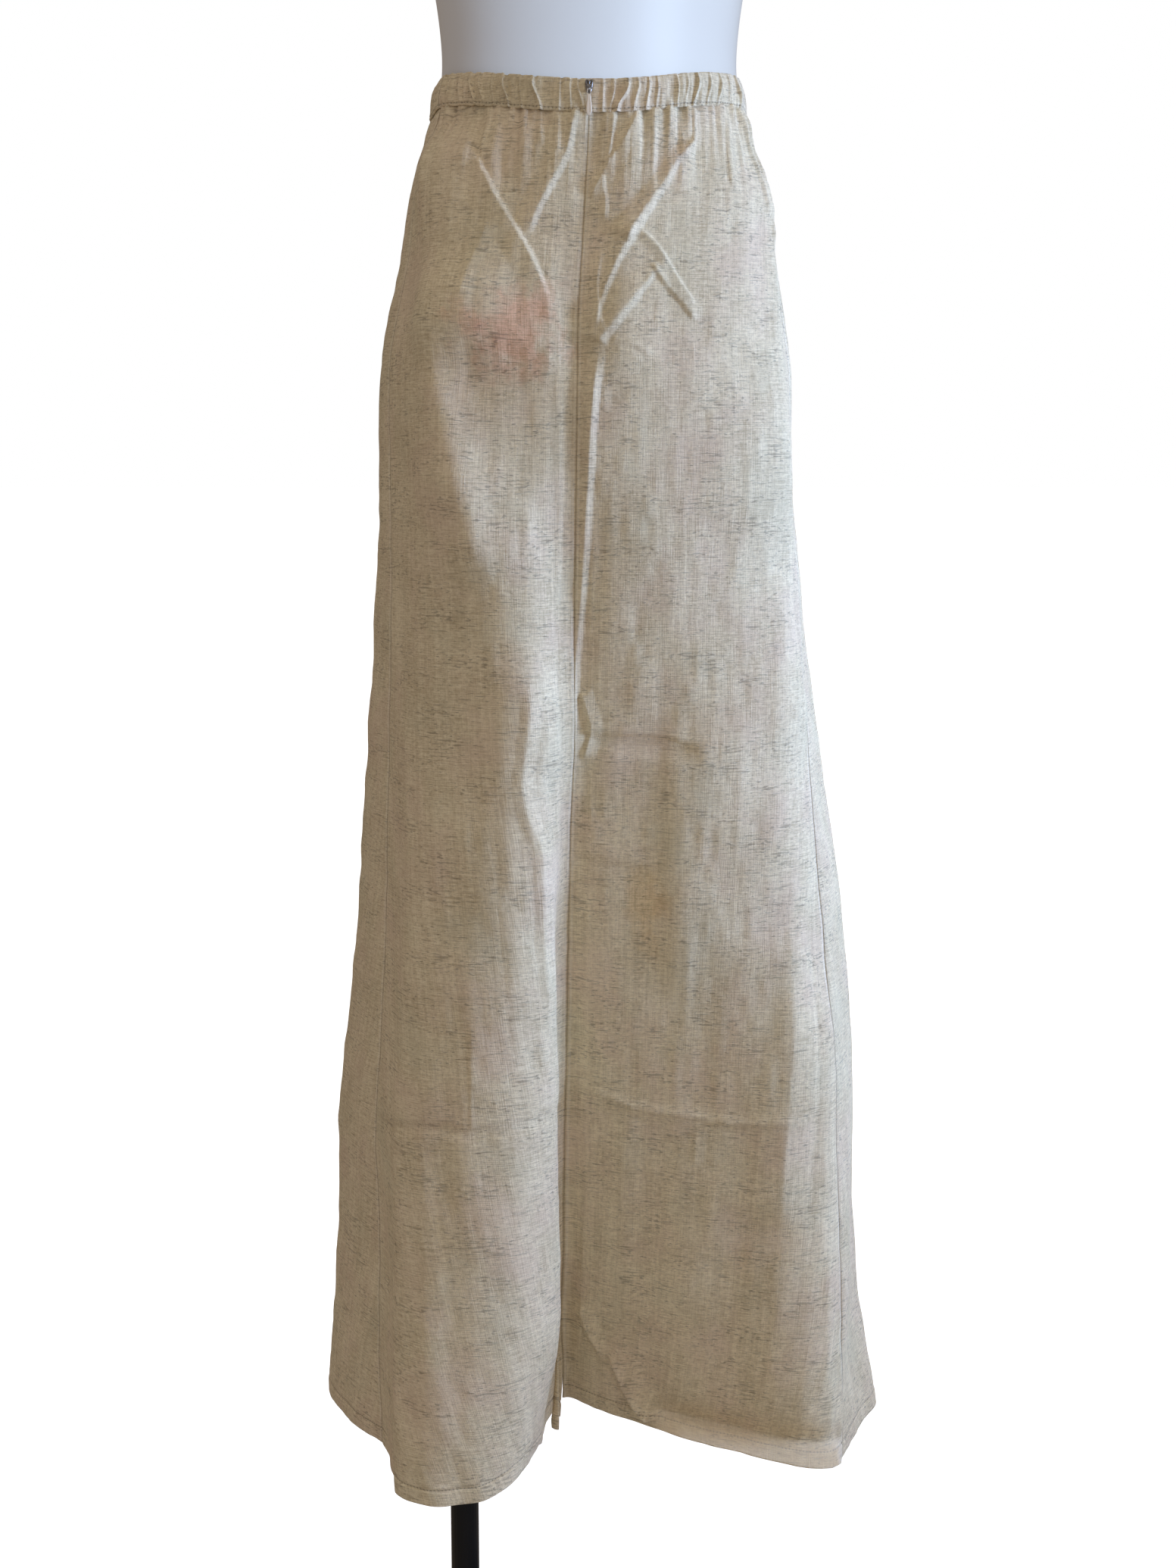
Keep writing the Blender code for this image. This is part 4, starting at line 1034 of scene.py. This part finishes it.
# ---------------------------------------------------------------------------------------------------
# The right back panel: its straight centre edge carries the other half of the zip. Packing creases
# cross it, pressed pleats run down from the waistband, and its side is pressed to a sharp corner.
# ---------------------------------------------------------------------------------------------------
HEM_LIGHT_START = 0.088

right_back = skirt.panel(CENTRE_SEAM, RIGHT_SEAM, CENTRE_SEAM)
brown_mark = Mark((0.062, 0.640), (0.016, 0.038), (0.98, 0.86, 0.66), 0.6)
# painted light: the hem is painted paler where it is kicked out, as if it caught the light from above
linen_right = linen("linen_right_back", [brown_mark], painted_hem_light=(KICK_DEPTH, HEM_LIGHT_START))
piece = shell_mesh("right_back_cloth", right_back, CLOTH_WALL, linen_right)
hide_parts("back_panel_right")

# ---------------------------------------------------------------------------------------------------
# The front panel: the widest piece, flat at the waist and flared to the hem. It wraps round both
# sides of the form, so that its edges meet the back panels behind the hips.
# ---------------------------------------------------------------------------------------------------
FRONT_MIDDLE = 270.0
front = skirt.panel(RIGHT_SEAM, LEFT_SEAM + 360, FRONT_MIDDLE, row_step=2)
piece = shell_mesh("front_cloth", front, CLOTH_WALL, linen("linen_front"))
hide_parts("front_panel")

# ---------------------------------------------------------------------------------------------------
# The waistband: a folded casing of the same linen, flat in front, with elastic behind that draws the
# back into uneven pleats. One row of stitching closes it on the skirt.
# ---------------------------------------------------------------------------------------------------
BAND_WALL = 0.0020
BAND_ROWS = 49
BAND_STITCHING = 0.0022
BAND_STITCHING_SINK = 0.0005
BAND_STITCHING_WIDTH = 0.5
BAND_EDGE_SINK = 0.0006
BAND_EDGE_WIDTH = 0.9
BAND_BULGE = 0.0008
BAND_CRINKLE = 0.0005
BAND_SIDE_FADE = 6.0
PLEAT_HEIGHT = 1 / 620
PLEAT_DROOP = 2400
PLEAT_ROUNDNESS = 0.08

# Each pleat of the back, from its turn at the band's top edge to its turn at the stitching. Its rise
# is in units of PLEAT_HEIGHT, its top droops by that rise over PLEAT_DROOP, in metres, and its widths
# before and after its line are in millimetres.
Pleat = namedtuple("Pleat", "top foot rise before after")
PLEATS = [
    Pleat(25.0, 26.5, 1.6, 2.4, 1.8),
    Pleat(31.0, 32.0, 1.8, 2.0, 1.4),
    Pleat(37.0, 38.6, 1.6, 2.2, 1.6),
    Pleat(43.5, 46.7, 2.8, 3.0, 1.0),
    Pleat(47.8, 50.4, 2.0, 2.2, 1.0),
    Pleat(53.3, 54.6, 1.7, 2.0, 1.4),
    Pleat(58.0, 60.5, 3.3, 3.4, 1.0),
    Pleat(64.0, 65.0, 1.5, 1.8, 1.6),
    Pleat(68.6, 71.7, 2.5, 3.0, 1.0),
    Pleat(77.6, 77.6, 1.3, 2.8, 1.0),
    Pleat(80.8, 81.3, 0.9, 2.0, 1.1),
    Pleat(83.3, 85.5, 1.6, 2.2, 1.0),
    Pleat(92.2, 92.0, 0.9, 1.8, 1.6),
    Pleat(96.6, 94.9, 1.2, 2.6, 0.9),
    Pleat(101.6, 97.1, 1.6, 0.9, 3.0),
    Pleat(105.6, 103.4, 0.9, 1.6, 2.0),
    Pleat(109.8, 108.3, 1.4, 0.9, 2.6),
    Pleat(113.5, 112.4, 1.0, 1.2, 2.2),
    Pleat(122.2, 121.4, 1.4, 3.0, 0.9),
    Pleat(127.0, 125.0, 0.9, 1.8, 1.8),
    Pleat(132.2, 128.8, 1.9, 1.0, 3.4),
    Pleat(138.9, 136.1, 1.0, 1.4, 2.2),
    Pleat(145.7, 142.2, 1.1, 1.4, 2.2),
    Pleat(151.5, 150.0, 0.9, 1.6, 2.0),
    Pleat(158.8, 160.1, 1.8, 0.9, 3.0),
]


def band_points(turn, share):
    """Points of the waistband: share 0 at its top edge, 1 at the skirt."""
    drop = band_top(turn) + share * BAND_DEPTH
    x, y = on_body(turn, drop)
    return np.stack([x, y, WAIST_LEVEL - drop], axis=-1)


BAND_STRETCHES = [
    Stretch(CENTRE_SEAM, 256),
    Stretch(RIGHT_SEAM, 304),
    Stretch(LEFT_SEAM + 360, 360),
]
band = Cloth(band_points, column_turns(BAND_STRETCHES), np.linspace(0, 1, BAND_ROWS))
down_band = np.linspace(0, 1, BAND_ROWS)[:, None]
for pleat in PLEATS:
    lean = pleat.top + (pleat.foot - pleat.top) * ease((down_band[:, 0] - 0.15) / 0.85)
    line = np.array([np.interp(turn, band.turns, row) for turn, row in zip(lean, band.across)])
    beside = (band.across - line[:, None]) * 1000
    ridge = tent(beside / np.where(beside < 0, pleat.before, pleat.after), PLEAT_ROUNDNESS)
    fullness = 0.45 + 0.55 * np.sin(np.pi * np.clip(down_band, 0.06, 0.9))
    band.push += pleat.rise * PLEAT_HEIGHT * ridge * fullness
    band.points[..., 2] -= pleat.rise / PLEAT_DROOP * hump(beside - 0.8, 1.5) * ease(1 - down_band / 0.5)
crinkle = band.around(noise_field(band.across, band.drops, (0.0035, 0.018), 41))
band.push += BAND_CRINKLE * crinkle * (0.25 + 0.75 * over_back(band.turns, BAND_SIDE_FADE)[None, :])
band.push += BAND_BULGE * np.sin(np.pi * np.clip(down_band, 0, 1)) ** 0.5
above_skirt = (1 - down_band) * BAND_DEPTH * 1000
band.push -= BAND_EDGE_SINK * hump(above_skirt, BAND_EDGE_WIDTH)
band.push -= BAND_STITCHING_SINK * hump(above_skirt - BAND_STITCHING * 1000, BAND_STITCHING_WIDTH)
band.settle()
for title, node, first, last, flat, held in (
    ("waistband_left", "waistband_back_left", LEFT_SEAM, CENTRE_SEAM, (0.16, 0.0245), "gathered"),
    ("waistband_right", "waistband_back_right", CENTRE_SEAM, RIGHT_SEAM, (0.19, 0.0245), "gathered"),
    ("waistband_front_piece", "waistband_front", RIGHT_SEAM, LEFT_SEAM + 360, (0.44, 0.0245), "hung"),
):
    casing = band.panel(first, last, (first + last) / 2)
    made = shell_mesh(title, casing, BAND_WALL, linen("linen_" + title, stitching=BAND_STITCHING))
    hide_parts(node)

# ---------------------------------------------------------------------------------------------------
# The dress form: a smooth moulded shell in white gloss, cut off at the neck and below the hips. It has
# no arms or legs, and its waist carries the skirt.
# ---------------------------------------------------------------------------------------------------
# The form's half width and its depths at each height above the waist
Body = namedtuple("Body", "height half_width back front")
TORSO = [
    Body(0.430, 0.0520, 0.0540, 0.0540),
    Body(0.398, 0.0535, 0.0555, 0.0555),
    Body(0.384, 0.0640, 0.0610, 0.0600),
    Body(0.368, 0.1020, 0.0710, 0.0690),
    Body(0.350, 0.1460, 0.0800, 0.0770),
    Body(0.325, 0.1690, 0.0865, 0.0840),
    Body(0.292, 0.1710, 0.0925, 0.0910),
    Body(0.250, 0.1600, 0.0965, 0.0990),
    Body(0.200, 0.1465, 0.0975, 0.1070),
    Body(0.150, 0.1375, 0.0945, 0.1090),
    Body(0.105, 0.1285, 0.0895, 0.1010),
    Body(0.063, 0.1200, 0.0850, 0.0920),
    Body(0.026, 0.1158, 0.0828, 0.0858),
    Body(0.000, 0.1163, 0.0830, 0.0850),
    Body(-0.026, 0.1208, 0.0846, 0.0868),
    Body(-0.055, 0.1275, 0.0885, 0.0908),
    Body(-0.090, 0.1355, 0.0950, 0.0960),
    Body(-0.130, 0.1425, 0.1020, 0.1000),
    Body(-0.170, 0.1480, 0.1075, 0.1030),
    Body(-0.215, 0.1515, 0.1105, 0.1045),
    Body(-0.260, 0.1525, 0.1095, 0.1035),
    Body(-0.300, 0.1500, 0.1030, 0.0990),
    Body(-0.325, 0.1440, 0.0950, 0.0920),
    Body(-0.335, 0.1350, 0.0850, 0.0830),
]

TORSO_ROWS = 150
TORSO_SIDES = 112
WHITE_GLOSS = (0.80, 0.81, 0.83)
WHITE_GLOSS_DULL = (0.76, 0.77, 0.79)

gloss = Nodes("white_gloss")
on_shell = gloss.on_object()
gloss.surface(
    {
        "Base Color": gloss.mix(gloss.noise(on_shell, (9, 9, 9), 3.0), WHITE_GLOSS_DULL, WHITE_GLOSS),
        "Roughness": 0.45,
    }
)
gloss.bump(gloss.noise(on_shell, (60, 60, 60)), 0.05, 0.002)

down_torso = np.linspace(0, len(TORSO) - 1, TORSO_ROWS)
height, half_width, back_depth, front_depth = (
    smooth_at(np.arange(len(TORSO)), column(TORSO, name), down_torso)[:, None] for name in Body._fields
)
angle = np.linspace(0, math.tau, TORSO_SIDES, endpoint=False)[None, :]
depth = np.where(np.sin(angle) > 0, back_depth, front_depth)
torso_points = np.stack(
    [-half_width * np.cos(angle), -depth * np.sin(angle), WAIST_LEVEL + height + 0 * angle], axis=-1
)
torso_ids = np.arange(TORSO_ROWS * TORSO_SIDES).reshape(TORSO_ROWS, TORSO_SIDES)
torso_faces = quads(np.concatenate([torso_ids, torso_ids[:, :1]], axis=1))
torso_faces += [torso_ids[0].tolist(), torso_ids[-1][::-1].tolist()]
torso = smooth_piece("form_shell", torso_points.reshape(-1, 3), torso_faces, gloss.material, BODY)
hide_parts("form_torso")

# the smooth shell is lit by a lamp of its own, which stands further round to its back than the window
shell_window = soft_light(
    "shell_window",
    place=(1.55, -1.72, 1.70),
    target=(0, 0, 1.50),
    size=(0.8, 1.2),
    power=44,
    color=(0.60, 0.77, 1.0),
)
only_shell = bpy.data.collections.new("only_shell")
only_shell.objects.link(torso)
shell_window.light_linking.receiver_collection = only_shell
all_but_shell = bpy.data.collections.new("all_but_shell")
all_but_shell.objects.link(torso)
all_but_shell.collection_objects[0].light_linking.link_state = "EXCLUDE"
for lamp in (window, ceiling):
    lamp.light_linking.receiver_collection = all_but_shell

# ---------------------------------------------------------------------------------------------------
# The stand: a steel tube between two turned collars on a heavy round plate, all in one black powder
# coat with a fine sandy skin. The tube is pushed into the form off its middle.
# ---------------------------------------------------------------------------------------------------
BLACK_GRAIN = (0.0025, 0.0025, 0.003)
BLACK_SKIN = (0.010, 0.010, 0.010)


def powder_coat(name, roughness):
    coat = Nodes(name)
    at = coat.on_object()
    grain = coat.noise(at, (1400, 1400, 1400), 2.0, 0.6)
    worn = coat.noise(at, (30, 30, 30), 3.0)
    coat.surface(
        {
            "Base Color": coat.mix(grain, BLACK_GRAIN, BLACK_SKIN),
            "Roughness": coat.spread(worn, 0.3, 0.7, roughness - 0.06, roughness + 0.08),
            "Specular IOR Level": 0.22,
        }
    )
    coat.bump(grain, 0.25, 0.0002)
    return coat.material


for node, finish in (
    ("form_base", powder_coat("black_plate", 0.50)),
    ("form_pole", powder_coat("black_tube", 0.42)),
    ("form_foot", powder_coat("black_collar_low", 0.46)),
    ("form_socket", powder_coat("black_collar_high", 0.46)),
):
    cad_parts[node].material_slots[0].material = finish

# ---------------------------------------------------------------------------------------------------
# The zip: a concealed coil on a narrow woven tape inside the centre seam. Its die-cast slider is left
# grey, and its small teardrop tab is enamelled cream.
# ---------------------------------------------------------------------------------------------------
TAPE_END_DROP = 0.2075
TAPE_HALF_WIDTH = 0.011
TAPE_WALL = 0.0007
TAPE_DEPTH = 0.0026
TAPE_DEEP = (0.42, 0.37, 0.29)
TAPE_PALE = (0.60, 0.54, 0.44)

tape = Nodes("zip_tape_weave")
twill = tape.noise(tape.on_object(), (900, 900, 2200), 2.0, 0.6)
tape.surface({"Base Color": tape.mix(twill, TAPE_DEEP, TAPE_PALE), "Roughness": 0.85})
tape.bump(twill, 0.4, 0.0003)

# the tape follows the seam's inside, in as many rows and columns as its inner face can share
seam_column = int(np.argmin(np.abs(skirt.turns - CENTRE_SEAM)))
tape_end = int(np.searchsorted(skirt.drops[:, seam_column], TAPE_END_DROP))
tape_rows = np.arange(0, tape_end // (2 * INNER_STEP) * (2 * INNER_STEP) + 1)
beside_seam = np.abs(skirt.across[tape_rows[-1] // 2]) < TAPE_HALF_WIDTH
tape_columns = np.arange(len(turns))[beside_seam]
tape_columns = tape_columns[: (len(tape_columns) - 1) // INNER_STEP * INNER_STEP + 1]
in_tape = np.ix_(tape_rows, tape_columns)
tape_panel = Panel(
    skirt.points[in_tape] - TAPE_DEPTH * skirt.normals[in_tape],
    skirt.normals[in_tape],
    skirt.across[in_tape],
    skirt.drops[in_tape],
    np.abs(skirt.across[in_tape]),
)
tape_strip = shell_mesh("zip_tape_strip", tape_panel, TAPE_WALL, tape.material)
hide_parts("zip_tape")

# the slider, the wire bail that stands on it, and the tab that hangs from the bail by its loop
SLIDER_X = -0.00015
SLIDER_FACE = -0.0926
SLIDER_TOP = 1.3888
SLIDER_TALL = 0.0095
SLIDER_DEEP = 0.0022
PULL_AXIS = (SLIDER_X, -0.0935, 1.3820)
PULL_LONG = 0.0190
PULL_THICK = 0.0010
LOOP_HALF_WIDTH = 0.00125
LOOP_FOOT = 0.0042
LOOP_WIRE = 0.00038
BAIL_RADIUS = 0.0015
BAIL_WIRE = 0.0004
BAIL_SUNK = 0.0009
CHANNEL_HOLLOW = 0.0011
FOOT_HOLLOW = 0.0004
TAB_HOLLOW = 0.00012
METAL_DARK = (0.10, 0.09, 0.08)
METAL_RUBBED = (0.42, 0.39, 0.36)
CREAM_ENAMEL = (0.92, 0.80, 0.63)
CHIPPED_ENAMEL = (0.50, 0.42, 0.33)

# Half the width at each share of the way down
Width = namedtuple("Width", "share half")
SLIDER_WIDTHS = [
    Width(0.00, 0.0021),
    Width(0.07, 0.0027),
    Width(0.25, 0.0030),
    Width(0.55, 0.0027),
    Width(0.88, 0.0020),
    Width(1.00, 0.0013),
]
TAB_WIDTHS = [
    Width(0.00, 0.0011),
    Width(0.10, 0.0014),
    Width(0.30, 0.0016),
    Width(0.55, 0.0021),
    Width(0.72, 0.0023),
    Width(0.86, 0.0020),
    Width(0.95, 0.0012),
    Width(1.00, 0.0004),
]

metal = Nodes("zip_grey_metal")
wear_and_highlight = metal.noise(metal.on_object(), (700, 700, 700), 3.0, 0.6)
metal.surface(
    {
        "Base Color": metal.mix(wear_and_highlight, METAL_DARK, METAL_RUBBED),
        "Roughness": metal.spread(wear_and_highlight, 0.3, 0.7, 0.22, 0.45),
        "Metallic": 0.9,
    }
)

enamel = Nodes("zip_cream_enamel")
chipped = enamel.spread(enamel.noise(enamel.on_object(), (900, 900, 900), 3.0, 0.7), 0.62, 0.72)
enamel.surface(
    {
        "Base Color": enamel.mix(chipped, CREAM_ENAMEL, CHIPPED_ENAMEL),
        "Roughness": 0.28,
        "Coat Weight": 0.4,
    }
)


# A cast plate's grid, and the shares of its thickness that its rim rounds off and that its wall takes up
PLATE_ROWS, PLATE_COLUMNS = 41, 25
PLATE_RIM, PLATE_WALL = 0.35, 0.62


def small_plate(name, top, tall, face, widths, hollow_at, finish, thick, body):
    """A small cast plate that faces back, with a rounded rim and the hollows asked for."""
    down, over = np.linspace(0, 1, PLATE_ROWS), np.linspace(-1, 1, PLATE_COLUMNS)
    down, over = np.meshgrid(down, over, indexing="ij")
    half = smooth_at(column(widths, "share"), column(widths, "half"), down)
    rim = np.maximum(np.abs(over), np.abs(2 * down - 1))
    y = face + PLATE_RIM * thick * rim**5 + hollow_at(over, down)
    points = np.stack([SLIDER_X + over * half, y, top - down * tall], axis=-1)
    plate = Panel(points, np.zeros_like(points) + (0.0, -1.0, 0.0), over * half, down * tall, half)
    return shell_mesh(name, plate, thick * PLATE_WALL, finish, body)


WIRE_SIDES = 10


def wire_piece(name, path, radius, finish, body):
    """A bent wire along its path, with rounded ends."""
    path = np.array(path, float)
    steps = np.gradient(path, axis=0)
    steps /= np.linalg.norm(steps, axis=1, keepdims=True)
    flat_way = np.cross(path[1] - path[0], path[-1] - path[0] + (1e-4, 1e-4, 1e-4))
    side = np.cross(steps, flat_way / np.linalg.norm(flat_way))
    side /= np.linalg.norm(side, axis=1, keepdims=True)
    other = np.cross(steps, side)
    around = np.linspace(0, math.tau, WIRE_SIDES, endpoint=False)[None, :, None]
    along = np.linspace(-1, 1, len(path))
    girth = radius * np.sqrt(np.clip(1 - (np.abs(along) ** 40), 0.15, 1))[:, None, None]
    rings = path[:, None] + girth * (np.cos(around) * side[:, None] + np.sin(around) * other[:, None])
    ids = np.arange(len(path) * WIRE_SIDES).reshape(-1, WIRE_SIDES)
    faces = quads(np.concatenate([ids, ids[:, :1]], axis=1)) + [ids[0].tolist(), ids[-1][::-1].tolist()]
    return smooth_piece(name, rings.reshape(-1, 3), faces, finish, body)


def slider_hollows(over, down):
    """Two channels that spread apart towards the top take the coils, and the foot is waisted in."""
    channel = hump(np.abs(over) - 0.62 + 0.75 * down, 0.17) * ease((0.50 - down) / 0.25)
    foot = hump(down - 0.62, 0.05) * ease((np.abs(over) - 0.3) / 0.4)
    return CHANNEL_HOLLOW * channel + FOOT_HOLLOW * foot


def tab_hollows(over, down):
    """The tab is dished a little along its middle."""
    return TAB_HOLLOW * hump(over, 0.45) * ease((down - 0.2) / 0.2) * ease((0.92 - down) / 0.15)


slider = small_plate(
    "zip_slider_body",
    SLIDER_TOP,
    SLIDER_TALL,
    SLIDER_FACE,
    SLIDER_WIDTHS,
    slider_hollows,
    metal.material,
    SLIDER_DEEP,
    BODY,
)
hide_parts("zip_slider")

pull_x, pull_y, pull_z = PULL_AXIS
bail_bend = [
    (pull_x, pull_y - BAIL_RADIUS * math.cos(a), pull_z + BAIL_RADIUS * math.sin(a))
    for a in np.radians(np.linspace(90, -90, 15))
]
bail_feet = [(pull_x, SLIDER_FACE + BAIL_SUNK, pull_z + way * BAIL_RADIUS) for way in (1, -1)]
bail_path = [bail_feet[0], *bail_bend, bail_feet[1]]
wire_piece("zip_bail", bail_path, BAIL_WIRE, metal.material, BODY)

tab_top = pull_z - LOOP_FOOT + 0.0006
tab = small_plate(
    "zip_pull_tab",
    tab_top,
    tab_top - pull_z + PULL_LONG,
    pull_y - PULL_THICK / 2,
    TAB_WIDTHS,
    tab_hollows,
    enamel.material,
    PULL_THICK,
    "zip_tab",
)
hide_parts("zip_pull")

loop_bend = [
    (pull_x + LOOP_HALF_WIDTH * math.cos(a), pull_y, pull_z + LOOP_HALF_WIDTH * (math.sin(a) - 1))
    for a in np.radians(np.linspace(180, 0, 13))
]
loop_feet = [(pull_x + way * LOOP_HALF_WIDTH, pull_y, pull_z - LOOP_FOOT) for way in (-1, 1)]
loop_path = [loop_feet[0], *loop_bend, loop_feet[1]]
wire_piece("zip_pull_loop", loop_path, LOOP_WIRE, enamel.material, "zip_tab")
